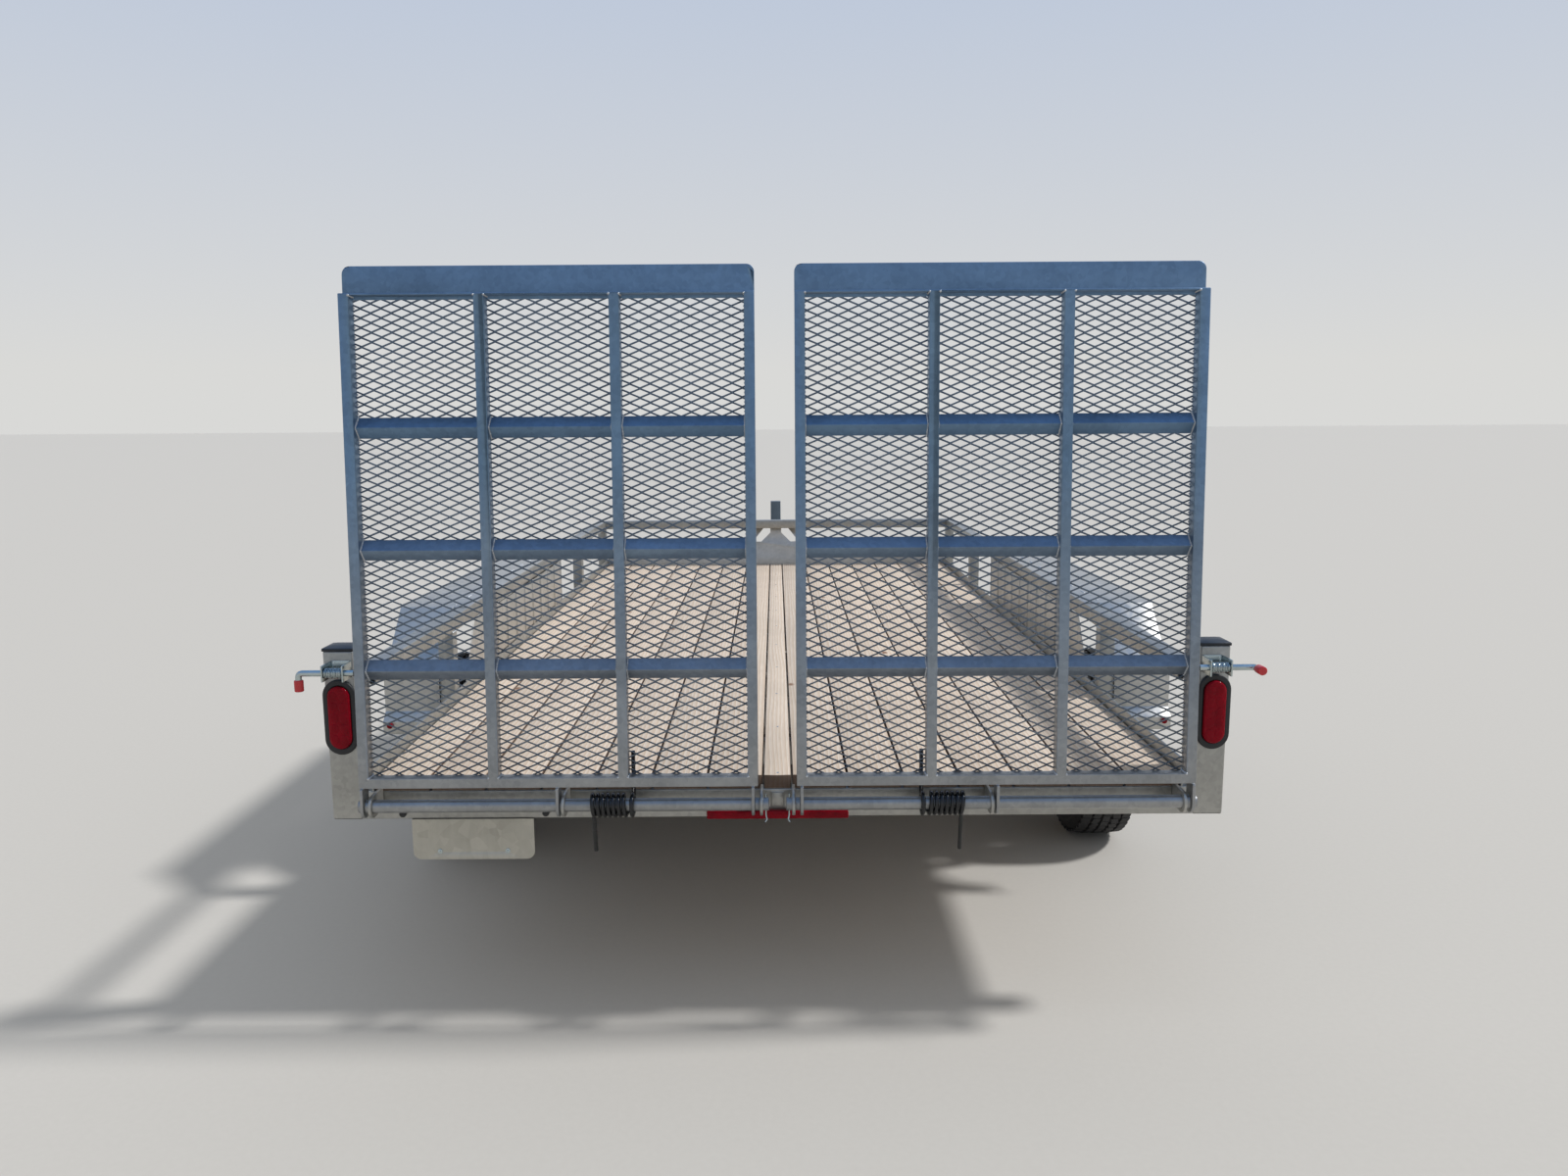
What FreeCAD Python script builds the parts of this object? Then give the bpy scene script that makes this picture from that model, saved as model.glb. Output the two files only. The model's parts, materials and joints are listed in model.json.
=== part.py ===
import FreeCAD, Part
import math
import os

# Tandem-axle utility trailer with two ramp gates at the rear, parked on its tongue jack.
# Lengths are millimetres. X points right, Y points forward to the coupler, Z points up from the ground.
# While the pieces are made, Y is counted from the deck's rear edge. Each piece is shifted once when it
# is written, so that the origin lies on the ground in the middle of the trailer's length.

V = FreeCAD.Vector
X_AXIS = V(1, 0, 0)
Y_AXIS = V(0, 1, 0)
Z_AXIS = V(0, 0, 1)

# General fits
seat_gap = 0.3            # between pieces that are seated on each other but move or curve
plate = 6.0               # plate and angle wall
sheet = 3.0               # folded sheet of fenders and panels

# Deck of softwood planks laid lengthwise
deck_top = 640.0
deck_length = 4267.0
plank_width = 140.0
plank_thick = 38.0
plank_gap = 5.0
planks_each_side = 7
centre_plank_width = 70.0
deck_side_gap = 4.0

# Chassis frame
side_lip = 36.0           # how far the edge angle stands above the deck
beam_width = 50.0
frame_height = 76.0
tube_wall = 5.0
cross_member_count = 9
cross_member_flange = 38.0

# Rear posts, rails and rail posts
rear_post_size = 76.0
rear_post_gap = 30.0      # from the frame's side to the rear post
rear_post_above_deck = 335.0
cap_overhang = 2.0
cap_skirt = 8.0
cap_peak = 5.0
rail_size = 50.0
rail_top_above_deck = 280.0
rail_post_rear_inset = 35.0    # from the fender's rear end to the middle of the post beside it
rail_post_front_inset = 10.0
rail_post_before_front = 927.0
rail_wall = 3.0
panel_height = 142.0
panel_thick = 3.0
panel_post_half = 34.0    # middle of the panel, which rises to the front rail
panel_post_foot = 91.0
panel_post_knee = 31.0    # below the front rail
slot_outer_top = 74.0
slot_outer_low = 144.0
panel_ear_half = 165.0

# Ribbed wheel walls
wall_start_inset = 136.0  # from the fender's rear end to the wall's lower rear corner
wall_slope_run = 140.0
wall_rib_count = 9
wall_rib_width = 18.0
wall_rib_depth = 5.0

# Wheels and axles
tyre_radius = 345.0
tyre_width = 205.0
tyre_from_frame = 14.5    # between the frame's side and the tyre
axle_group_y = 1745.0
axle_spread = 864.0
rim_radius = 190.5
rim_flange = 13.0
rim_width = 152.0
rim_wall = 4.0
axle_radius = 30.0
spindle_radius = 20.0
hub_radius = 38.0
hub_cap_length = 70.0
hub_cap_chamfer = 12.0
spindle_past_face = 30.0
drum_radius = 140.0
drum_width = 62.0
drum_wall = 8.0
drum_face = 10.0
backing_gap = 8.0
hand_hole_count = 8
hand_hole_radius = 19.0
hand_hole_circle = 142.0
nut_radius = 10.5
nut_length = 12.0
stud_past_face = 28.0
seat_half = 35.0          # spring seat on the axle, along Y
stud_circle = 114.3
stud_radius = 6.35
stud_count = 5

# Leaf springs
spring_half_length = 330.0
spring_sag = 45.0
leaf_thick = 7.0
leaf_width = 45.0
leaf_shares = (1.0, 0.82, 0.62, 0.42)   # length of each leaf as a share of the main leaf
eye_radius = 18.0
bolt_radius = 7.0
hanger_width = 60.0
hanger_foot_share = 0.6
bolt_past_cheek = 3.0
cheek_gap = 1.0           # between a spring's eye and the cheek beside it
pivot_above_eye = 6.0     # the equaliser's middle bolt
equaliser_end_reach = 22.0
equaliser_end_low = 18.0
equaliser_end_high = 14.0
equaliser_top = 40.0
equaliser_top_half = 30.0

# Fenders
fender_past_tyre = 11.5
fender_top_half = 747.0
fender_half = 955.0
fender_knee = 75.0        # above the deck, where the end face turns into the slope
fender_step_top = 30.0    # below the deck, where the end face slants out to the lamp strip
fender_step_low = 58.0
fender_step_out = 30.0
fender_hem = 100.0        # below the deck, where the lamp strip ends
skirt_depth = 45.0

# Ramp gates
gate_inner = 49.0
gate_post_gap = 29.0
gate_lean = 3.0           # degrees towards the deck when closed
gate_bar_width = 25.4
gate_bar_depth = 38.0
gate_bottom = 51.0        # from the hinge line up to the gate's frame
gate_top = 1282.0
gate_cross_first = 350.0  # from the hinge line up to the lowest cross angle
gate_cross_pitch = 304.0
gate_angle_leg = 38.0
gate_angle_wall = 4.0
gate_bar_wall = 3.0
gate_upright_count = 4
gate_cross_count = 3
mesh_long_way = 50.8      # pitch of the expanded metal's diamonds across the gate
mesh_short_way = 23.4     # pitch of the diamonds up the gate
mesh_strand = 3.8
gate_mesh_thick = 3.4
toe_plate_top = 1352.0
toe_plate_lap = 12.0
toe_plate_thick = 4.8
toe_corner = 20.0

# Hinges and lift springs
hinge_behind_deck = 72.0
hinge_below_deck = 54.0
pipe_radius = 16.7
pipe_inner_end = 22.0
pipe_post_gap = 22.0
frame_ear_inset_inner = 19.0
frame_ear_inset_outer = 34.0
gate_ear_inset_inner = 40.0
gate_ear_inset_outer = 15.0
ear_pair_gap = 13.0       # between the two middle ears
pipe_wall = 3.4
lug_radius = 29.0
lug_thick = 8.0
coil_radius = 26.5
coil_wire = 11.0
coil_pitch = 13.2
coil_turns = 8
coil_start = 370.0        # the arm's ring, on the side towards the middle
coil_arm_above_hinge = 134.0
coil_leg_length = 190.0

# Tail lamps and rear furniture
lamp_above_deck = 163.0
lens_width = 57.0
lens_height = 166.0
lens_depth = 17.0
grommet_width = 84.0
grommet_height = 199.0
grommet_depth = 10.0
marker_radius = 9.5
marker_depth = 8.0
marker_inset = 23.0       # from the fender's outer edge
marker_below_deck = 70.0
light_bar_length = 370.0
light_bar_height = 21.0
light_bar_depth = 18.0
bracket_from_post = 130.0
bracket_width = 320.0
bracket_drop = 111.0
bracket_hole_spacing = 178.0
bracket_hole_radius = 3.5
bracket_hole_up = 23.0    # above the bracket's lower edge
bracket_corner = 22.0
bracket_foot = 40.0
plug_left_of_bracket = 23.0
plug_right_of_bracket = 32.0
plug_radius = 9.0
plug_depth = 4.0
plug_up = 14.0
tab_half = 17.0
tab_height = 42.0
tab_drop = 8.0
latch_above_deck = 291.0
latch_rod_radius = 8.0
latch_spring_radius = 14.0
latch_past_post = 50.0
latch_clearance = 6.0
latch_handle = 9.0
latch_bracket_plate = 4.0
latch_bracket_half = 22.0
grip_length = 30.0
grip_radius = 11.5

# Tongue, coupler and jack
ball_ahead_of_deck = 1270.0
ball_radius = 29.35
ball_height = 484.0
tongue_angle = 25.0
tongue_front_half = 34.0
tongue_set_back = 100.0
coupler_wall = 14.0
coupler_plate_length = 240.0
coupler_plate_tail = 55.0
coupler_below_ball = 24.0
latch_lever_length = 125.0
latch_lever_half = 12.0
jack_behind_ball = 305.0
jack_size = 70.0
jack_wall = 5.0
jack_top_above_deck = 324.0
jack_bottom = 380.0
jack_leg_top = 640.0
jack_foot_size = 150.0
jack_foot_thick = 8.0
jack_flange_lap = 20.0
crank_below_top = 60.0
crank_shaft = 60.0
crank_arm = 150.0
crank_knob = 90.0
crank_shaft_radius = 9.0
crank_knob_radius = 12.0

# Levels and places worked out from the sizes above
plank_bottom = deck_top - plank_thick
frame_bottom = plank_bottom - frame_height
deck_half = centre_plank_width / 2 + planks_each_side * (plank_width + plank_gap)
lip_inner = deck_half + deck_side_gap
frame_outer = lip_inner + plate
beam_inner = frame_outer - beam_width
beam_middle = frame_outer - beam_width / 2
beam_top = plank_bottom - plate
post_inner = frame_outer + rear_post_gap
post_outer = post_inner + rear_post_size
post_middle = post_inner + rear_post_size / 2
post_top = deck_top + rear_post_above_deck
rail_outer = frame_outer + rail_size
rail_top = deck_top + rail_top_above_deck
rail_bottom = rail_top - rail_size
hinge_y = -hinge_behind_deck
hinge_z = deck_top - hinge_below_deck
wheel_x = frame_outer + tyre_from_frame + tyre_width / 2
fender_outer = wheel_x + tyre_width / 2 + fender_past_tyre
fender_rear = axle_group_y - fender_half
rail_post_places = (fender_rear + rail_post_rear_inset, axle_group_y + fender_half - rail_post_front_inset,
                    deck_length - rail_post_before_front, deck_length - rail_size / 2)
gate_outer = post_inner - gate_post_gap
pipe_outer_end = post_inner - pipe_post_gap
bracket_left = -post_inner + bracket_from_post
bracket_right = bracket_left + bracket_width
latch_reach = post_outer + latch_past_post
axle_places = (axle_group_y - axle_spread / 2, axle_group_y + axle_spread / 2)
spring_bottom = tyre_radius + axle_radius + plate
main_leaf_middle = spring_bottom + leaf_thick * (len(leaf_shares) - 0.5)
eye_z = main_leaf_middle + spring_sag
gate_front = coil_radius - coil_wire / 2 - seat_gap - gate_mesh_thick
gate_rear = gate_front - gate_bar_depth
ball_y = deck_length + ball_ahead_of_deck
coupler_radius = ball_radius + coupler_wall
coupler_nose = ball_y + coupler_radius
latch_y = hinge_y + (latch_above_deck + hinge_below_deck) * math.tan(math.radians(gate_lean))
latch_y += (gate_front + gate_rear) / 2
rear_reach = latch_y - latch_rod_radius - latch_handle - grip_length
middle_y = (coupler_nose + rear_reach) / 2


def block(x0, x1, y0, y1, z0, z1):
    """A box between two limits on each axis."""
    return Part.makeBox(x1 - x0, y1 - y0, z1 - z0, V(x0, y0, z0))


def pipe_along_x(x0, x1, y, z, radius):
    return Part.makeCylinder(radius, x1 - x0, V(x0, y, z), X_AXIS)


def rod(start, end, radius):
    way = end.sub(start)
    return Part.makeCylinder(radius, way.Length, start, way)


def prism(corners, way):
    """A flat outline pushed along one direction."""
    outline = Part.makePolygon(list(corners) + [corners[0]])
    return Part.Face(outline).extrude(way)


def prism_x(corners_yz, x0, x1):
    return prism([V(x0, y, z) for y, z in corners_yz], V(x1 - x0, 0, 0))


def prism_y(corners_xz, y0, y1):
    return prism([V(x, y0, z) for x, z in corners_xz], V(0, y1 - y0, 0))


def prism_z(corners_xy, z0, z1):
    return prism([V(x, y, z0) for x, y in corners_xy], V(0, 0, z1 - z0))


def oval_prism(x, z, width, height, y0, y1):
    """An upright oval with round ends, pushed along Y."""
    radius = width / 2
    straight = height / 2 - radius
    body = block(x - radius, x + radius, y0, y1, z - straight, z + straight)
    top = Part.makeCylinder(radius, y1 - y0, V(x, y0, z + straight), Y_AXIS)
    bottom = Part.makeCylinder(radius, y1 - y0, V(x, y0, z - straight), Y_AXIS)
    return joined([body, top, bottom])


def joined(pieces):
    """One solid from pieces that touch or cross."""
    return pieces[0].multiFuse(pieces[1:]).removeSplitter()


def mirrored(shape):
    return shape.mirror(V(0, 0, 0), X_AXIS)


def pair(shape):
    """The right-hand piece and its mirror image."""
    return [shape, mirrored(shape)]


def turned(profile, x, y, z):
    """A solid of revolution about an axle line; the profile is (distance along X, radius)."""
    corners = [V(x + along, y, z + radius) for along, radius in profile]
    face = Part.Face(Part.makePolygon(corners + [corners[0]]))
    return face.revolve(V(x, y, z), X_AXIS, 360)


def save(node, pieces):
    """Writes one node's solids, shifted to the middle of the trailer."""
    shape = Part.makeCompound(pieces) if len(pieces) > 1 else pieces[0]
    shape = shape.copy()
    shape.translate(V(0, -middle_y, 0))
    shape.exportStep("parts/" + node + ".step")


os.makedirs("parts", exist_ok=True)


# Deck planks, the narrow ripped one in the middle
def plank_set():
    front = deck_length - panel_thick - plank_gap
    half = centre_plank_width / 2
    planks = [block(-half, half, 0, front, plank_bottom, deck_top)]
    for number in range(planks_each_side):
        start = half + plank_gap + number * (plank_width + plank_gap)
        plank = block(start, start + plank_width, 0, front, plank_bottom, deck_top)
        planks += pair(plank)
    return planks


save("deck_planks", plank_set())


# Edge angles: an upright leg beside the planks and a flat leg below them
def edge_angle():
    upright = block(lip_inner, frame_outer, 0, deck_length, plank_bottom, deck_top + side_lip)
    flat = block(beam_inner, frame_outer, beam_width, deck_length - beam_width, beam_top, plank_bottom)
    return joined([upright, flat])


save("deck_edge_angles", pair(edge_angle()))


# Main beams: channels below the edge angles, open towards the middle
def main_beam():
    y0 = beam_width
    y1 = deck_length - beam_width
    whole = block(beam_inner, frame_outer, y0, y1, frame_bottom, beam_top)
    hollow = block(beam_inner, frame_outer - tube_wall, y0, y1, frame_bottom + tube_wall, beam_top - tube_wall)
    return whole.cut(hollow)


save("main_beams", pair(main_beam()))


# Cross members between the main beams, channels open to the front
def cross_member_places():
    first = beam_width
    last = deck_length - beam_width
    pitch = (last - first) / (cross_member_count + 1)
    return [first + pitch * (number + 1) for number in range(cross_member_count)]


def cross_member(y):
    z0 = frame_bottom
    z1 = plank_bottom
    back = y - cross_member_flange / 2
    front = y + cross_member_flange / 2
    corners = [(back, z0), (front, z0), (front, z0 + tube_wall), (back + tube_wall, z0 + tube_wall),
               (back + tube_wall, z1 - tube_wall), (front, z1 - tube_wall), (front, z1), (back, z1)]
    return prism_x(corners, -beam_inner, beam_inner)


save("cross_members", [cross_member(y) for y in cross_member_places()])


def end_tube(half_width, y0, y1):
    outer = block(-half_width, half_width, y0, y1, frame_bottom, plank_bottom)
    inner = block(-half_width, half_width, y0 + tube_wall, y1 - tube_wall,
                  frame_bottom + tube_wall, plank_bottom - tube_wall)
    return outer.cut(inner)


tab_top = plank_bottom - tab_drop
centre_tab = block(-tab_half, tab_half, -sheet, 0, tab_top - tab_height, tab_top)
save("rear_crossmember", [joined([end_tube(post_inner, 0, beam_width), centre_tab])])
save("front_crossmember", [end_tube(frame_outer, deck_length - beam_width, deck_length)])


# Rear posts with their moulded caps
def rear_post():
    outer = block(post_inner, post_inner + rear_post_size, 0, rear_post_size, frame_bottom, post_top)
    inner = block(post_inner + tube_wall, post_inner + rear_post_size - tube_wall, tube_wall,
                  rear_post_size - tube_wall, frame_bottom, post_top)
    return outer.cut(inner)


def circle_places(count, radius, shift):
    """Offsets (Y, Z) of evenly spaced places on a circle, turned by a share of one step."""
    turns = [2 * math.pi * (number + shift) / count for number in range(count)]
    return [(radius * math.cos(turn), radius * math.sin(turn)) for turn in turns]


def square_wire(x, y, half, z):
    corners = [V(x - half, y - half, z), V(x + half, y - half, z), V(x + half, y + half, z), V(x - half, y + half, z)]
    return Part.makePolygon(corners + [corners[0]])


def post_cap():
    half = rear_post_size / 2 + cap_overhang
    y = rear_post_size / 2
    skirt = block(post_middle - half, post_middle + half, y - half, y + half, post_top, post_top + cap_skirt)
    low = square_wire(post_middle, y, half, post_top + cap_skirt)
    high = square_wire(post_middle, y, half * 0.45, post_top + cap_skirt + cap_peak)
    return joined([skirt, Part.makeLoft([low, high], True, True)])


save("rear_posts", pair(rear_post()))
save("post_caps", pair(post_cap()))


# Rails above the deck: two along the sides, one across the front, and the posts that carry them
def side_rail():
    y0 = rear_post_size
    outer = block(frame_outer, rail_outer, y0, deck_length, rail_bottom, rail_top)
    inner = block(frame_outer + rail_wall, rail_outer - rail_wall, y0, deck_length,
                  rail_bottom + rail_wall, rail_top - rail_wall)
    return outer.cut(inner)


def front_rail():
    y0 = deck_length - rail_size
    outer = block(-frame_outer, frame_outer, y0, deck_length, rail_bottom, rail_top)
    inner = block(-frame_outer, frame_outer, y0 + rail_wall, deck_length - rail_wall,
                  rail_bottom + rail_wall, rail_top - rail_wall)
    return outer.cut(inner)


def rail_post(y):
    y0 = y - rail_size / 2
    y1 = y + rail_size / 2
    outer = block(frame_outer, rail_outer, y0, y1, frame_bottom, rail_bottom)
    inner = block(frame_outer + rail_wall, rail_outer - rail_wall, y0 + rail_wall, y1 - rail_wall,
                  frame_bottom, rail_bottom)
    return outer.cut(inner)


save("side_rails", pair(side_rail()))
save("front_rail", [front_rail()])
rail_posts = []
for place in rail_post_places:
    rail_posts += pair(rail_post(place))
save("rail_posts", rail_posts)


# Front sheet: a kick panel that rises to the front rail in the middle, with two slanted slots
def front_panel():
    y0 = deck_length - panel_thick
    low = deck_top + panel_height
    knee = rail_bottom - panel_post_knee
    middle = [(-panel_post_half, rail_bottom), (-panel_post_half, knee), (-panel_post_foot, low),
              (panel_post_foot, low), (panel_post_half, knee), (panel_post_half, rail_bottom)]
    ear = [(slot_outer_top, rail_bottom), (slot_outer_low, low), (panel_ear_half, low), (panel_ear_half, rail_bottom)]
    base = block(-lip_inner, lip_inner, y0, deck_length, plank_bottom, low)
    return joined([base, prism_y(middle, y0, deck_length)] + pair(prism_y(ear, y0, deck_length)))


save("front_panel", [front_panel()])


# Fenders: one folded sheet over both wheels, with a skirt along its outer edge and a lamp strip at each end
def fender_outline(inset, low_z):
    """Outline (Y, Z) of the fender seen from the side, open below, moved inwards by inset."""
    rise = rail_top_above_deck - fender_knee
    slope = math.atan2(rise, fender_half - fender_top_half)
    end = fender_half - inset
    knee_z = deck_top + fender_knee + sheet - inset * math.tan((math.pi / 2 - slope) / 2)
    shoulder = fender_top_half - inset * math.tan(slope / 2)
    half = [(end, low_z), (end, knee_z), (shoulder, rail_top + sheet - inset)]
    rear = [(axle_group_y - along, z) for along, z in half]
    front = [(axle_group_y + along, z) for along, z in reversed(half)]
    return rear + front


def lamp_strip(way):
    """The folded strip below one end face; way is -1 at the rear and 1 at the front."""
    near = axle_group_y + way * fender_half
    far = near + way * fender_step_out
    z1 = deck_top - fender_step_top
    z2 = deck_top - fender_step_low
    back = way * sheet
    corners = [(near, z1 + sheet), (near, z1), (far, z2), (far, deck_top - fender_hem),
               (far - back, deck_top - fender_hem), (far - back, z2 - sheet), (near - back, z1 - sheet),
               (near - back, z1 + sheet)]
    return prism_x(corners, rail_outer + seat_gap, fender_outer)


def fender():
    low_z = deck_top - fender_step_top
    inside = rail_outer + seat_gap
    outer = prism_x(fender_outline(0, low_z), inside, fender_outer)
    hollow = prism_x(fender_outline(sheet, low_z), inside, fender_outer - sheet)
    window = prism_x(fender_outline(skirt_depth, low_z), fender_outer - sheet, fender_outer)
    flap = block(frame_outer, rail_outer + 2 * sheet, axle_group_y - fender_top_half,
                 axle_group_y + fender_top_half, rail_top, rail_top + sheet)
    return joined([outer.cut(hollow).cut(window), flap, lamp_strip(-1), lamp_strip(1)])


save("fenders", pair(fender()))


# Ribbed walls between the deck's edge and the side rails, beside the wheels
def wheel_wall():
    y_front = rail_post_places[1] - rail_size / 2
    y_rear = fender_rear + wall_start_inset
    y_slope = y_rear + wall_slope_run
    z0 = deck_top + side_lip
    corners = [(y_rear, z0), (y_front, z0), (y_front, rail_bottom), (y_slope, rail_bottom)]
    inner = frame_outer - sheet
    pieces = [prism_x(corners, inner, frame_outer)]
    pitch = (y_front - y_slope) / (wall_rib_count + 1)
    for number in range(wall_rib_count):
        start = y_slope + pitch * (number + 1) - wall_rib_width / 2
        pieces.append(block(inner - wall_rib_depth, inner, start, start + wall_rib_width, z0, rail_bottom))
    return joined(pieces)


save("wheel_walls", pair(wheel_wall()))

# Tail lamps: oval lenses in thick rubber grommets
lamp_z = deck_top + lamp_above_deck
grommet = oval_prism(post_middle, lamp_z, grommet_width, grommet_height, -grommet_depth, 0)
lens = oval_prism(post_middle, lamp_z, lens_width, lens_height, -lens_depth, -sheet)
save("tail_lamp_grommets", pair(grommet.cut(lens)))
save("tail_lamp_lenses", pair(lens))


# Small round marker lamps on the fenders' lamp strips
def marker(way):
    face = axle_group_y + way * (fender_half + fender_step_out)
    start = V(fender_outer - marker_inset, face + way * seat_gap / 2, deck_top - marker_below_deck)
    return Part.makeCylinder(marker_radius, marker_depth, start, V(0, way, 0))


save("rear_markers", pair(marker(-1)))
save("front_markers", pair(marker(1)))

# Long narrow lamp in the middle of the rear crossmember
bar_half = light_bar_length / 2
save("rear_light_bar", [block(-bar_half, bar_half, -light_bar_depth, 0, frame_bottom, frame_bottom + light_bar_height)])


# Bent plate below the crossmember that carries a registration plate
def plate_bracket():
    z0 = frame_bottom - bracket_drop
    drop = block(bracket_left, bracket_right, -sheet, 0, z0, frame_bottom)
    low_corners = [edge for edge in drop.Edges
                   if edge.BoundBox.ZMax < z0 + sheet / 2 and edge.BoundBox.YLength > sheet / 2]
    drop = drop.makeFillet(bracket_corner, low_corners)
    foot = block(bracket_left, bracket_right, 0, bracket_foot, frame_bottom - sheet, frame_bottom)
    shape = joined([drop, foot])
    middle = (bracket_left + bracket_right) / 2
    for side in (-1, 1):
        place = V(middle + side * bracket_hole_spacing / 2, -2 * sheet, z0 + bracket_hole_up)
        shape = shape.cut(Part.makeCylinder(bracket_hole_radius, 4 * sheet, place, Y_AXIS))
    return shape


save("plate_bracket", [plate_bracket()])

# Rubber plugs in the crossmember's rear face
save("rubber_plugs", [Part.makeCylinder(plug_radius, plug_depth, V(x, -plug_depth, frame_bottom + plug_up), Y_AXIS)
                      for x in (bracket_left - plug_left_of_bracket, bracket_right + plug_right_of_bracket)])


# Hinge ears welded to the crossmember
def frame_ear(x):
    x0 = x - lug_thick / 2
    ring = pipe_along_x(x0, x0 + lug_thick, hinge_y, hinge_z, lug_radius)
    arm = block(x0, x0 + lug_thick, hinge_y, 0, hinge_z - lug_radius, hinge_z + lug_radius)
    hole = pipe_along_x(x0, x0 + lug_thick, hinge_y, hinge_z, pipe_radius + seat_gap)
    return joined([ring, arm]).cut(hole)


pipe_middle = (pipe_inner_end + pipe_outer_end) / 2
frame_ear_places = (pipe_inner_end + frame_ear_inset_inner, pipe_middle, pipe_outer_end - frame_ear_inset_outer)
gate_ear_places = (pipe_inner_end + gate_ear_inset_inner, pipe_middle + ear_pair_gap,
                   pipe_outer_end - gate_ear_inset_outer)
ears = []
for place in frame_ear_places:
    ears += pair(frame_ear(place))
save("hinge_ears", ears)


# Ramp gates, drawn upright about the hinge line and then leaned towards the deck
def at_gate(shape):
    shape = shape.copy()
    shape.rotate(V(0, 0, 0), X_AXIS, -gate_lean)
    shape.translate(V(0, hinge_y, hinge_z))
    return shape


def gate_upright_places():
    pitch = (gate_outer - gate_inner - gate_bar_width) / (gate_upright_count - 1)
    return [gate_inner + number * pitch for number in range(gate_upright_count)]


def gate_tubes(wall):
    """The gate's uprights and bottom tube, each drawn smaller by the wall; the uprights stay open at the top."""
    y0 = gate_rear + wall
    y1 = gate_front - wall
    width = gate_bar_width - wall
    top = gate_top - toe_plate_thick
    tubes = [block(x + wall, x + width, y0, y1, gate_bottom + wall, top) for x in gate_upright_places()]
    tubes.append(block(gate_inner + wall, gate_outer - wall, y0, y1, gate_bottom + wall, gate_bottom + width))
    return tubes


def gate_angle(w):
    """A cross bar of angle, its corner pointing to the rear."""
    reach = gate_angle_leg / math.sqrt(2)
    wall = gate_angle_wall * math.sqrt(2)
    corners = [(gate_front, w + reach), (gate_front - reach, w), (gate_front, w - reach),
               (gate_front, w - reach + wall), (gate_front - reach + wall, w), (gate_front, w + reach - wall)]
    return prism_x(corners, gate_inner + gate_bar_width / 2, gate_outer - gate_bar_width / 2)


def toe_plate():
    """The plate above the gate, with its flange folded back over the tops of the uprights."""
    shape = block(gate_inner, gate_outer, gate_front - toe_plate_thick, gate_front,
                  gate_top - toe_plate_lap, toe_plate_top)
    top_corners = [edge for edge in shape.Edges
                   if edge.BoundBox.ZMin > toe_plate_top - sheet / 2 and edge.BoundBox.YLength > sheet / 2]
    flange = block(gate_inner, gate_outer, gate_rear, gate_front, gate_top - toe_plate_thick, gate_top)
    return shape.makeFillet(toe_corner, top_corners).fuse(flange)


def gate_ear(x):
    x0 = x - lug_thick / 2
    ring = pipe_along_x(x0, x0 + lug_thick, 0, 0, lug_radius)
    arm = block(x0, x0 + lug_thick, -lug_radius, gate_front, 0, gate_bottom)
    return joined([ring, arm])


def gate_frame():
    bars = gate_tubes(0)
    for number in range(gate_cross_count):
        bars.append(gate_angle(gate_cross_first + number * gate_cross_pitch))
    bars.append(toe_plate())
    for place in gate_ear_places:
        bars.append(gate_ear(place))
    bars.append(pipe_along_x(pipe_inner_end, pipe_outer_end, 0, 0, pipe_radius))
    bore = pipe_along_x(pipe_inner_end, pipe_outer_end, 0, 0, pipe_radius - pipe_wall)
    return joined(bars).cut(bore).cut(joined(gate_tubes(gate_bar_wall)))


def gate_mesh():
    """Expanded metal as its zigzag strands, which meet tip to tip and end on the gate's tubes."""
    inset = gate_bar_width / 4
    half_long = mesh_long_way / 2
    half_short = mesh_short_way / 2
    tall = mesh_strand / math.cos(math.atan2(half_short, half_long))
    start = gate_inner + inset
    tips = [start + step * half_long for step in range(int((gate_outer - inset - start) / half_long) + 1)]
    low_w = gate_bottom + inset
    strands = []
    for row in range(int((gate_top - inset - low_w) / half_short)):
        low = low_w + row * half_short + seat_gap / 2
        high = low + half_short - seat_gap - tall
        lower = [(x, high if (step + row) % 2 else low) for step, x in enumerate(tips)]
        upper = [(x, w + tall) for x, w in reversed(lower)]
        strands.append(prism_y(lower + upper, gate_front, gate_front + gate_mesh_thick))
    return Part.makeCompound(strands)


# Lift springs: the coil and its lower leg stay on the chassis, the upper arm turns with the gate
def lift_coil():
    wire = coil_wire / 2
    low = coil_radius - wire
    x0 = coil_start + coil_pitch
    turns = []
    for number in range(coil_turns):
        x = x0 + number * coil_pitch
        turns.append(Part.makeTorus(coil_radius, wire, V(x, hinge_y, hinge_z), X_AXIS))
    length = (coil_turns - 1) * coil_pitch
    sleeve = pipe_along_x(x0, x0 + length, hinge_y, hinge_z, coil_radius + 1)
    sleeve = sleeve.cut(pipe_along_x(x0, x0 + length, hinge_y, hinge_z, low + 2))
    x1 = x0 + length
    start = V(x1, hinge_y + coil_radius, hinge_z)
    # The leg passes just below the crossmember's lower edge
    edge_ahead = -start.y
    edge_below = hinge_z - frame_bottom
    spread = math.asin((wire + seat_gap) / math.hypot(edge_ahead, edge_below))
    angle = math.atan2(edge_ahead, edge_below) - spread
    end = V(x1, start.y + coil_leg_length * math.sin(angle), hinge_z - coil_leg_length * math.cos(angle))
    return joined(turns + [sleeve, rod(start, end, wire)])


def lift_arm():
    wire = coil_wire / 2
    ring = Part.makeTorus(coil_radius, wire, V(coil_start, 0, 0), X_AXIS)
    arm = rod(V(coil_start, coil_radius, -wire / 2), V(coil_start, coil_radius, coil_arm_above_hinge), wire - 0.2)
    return joined([ring, arm])


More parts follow.
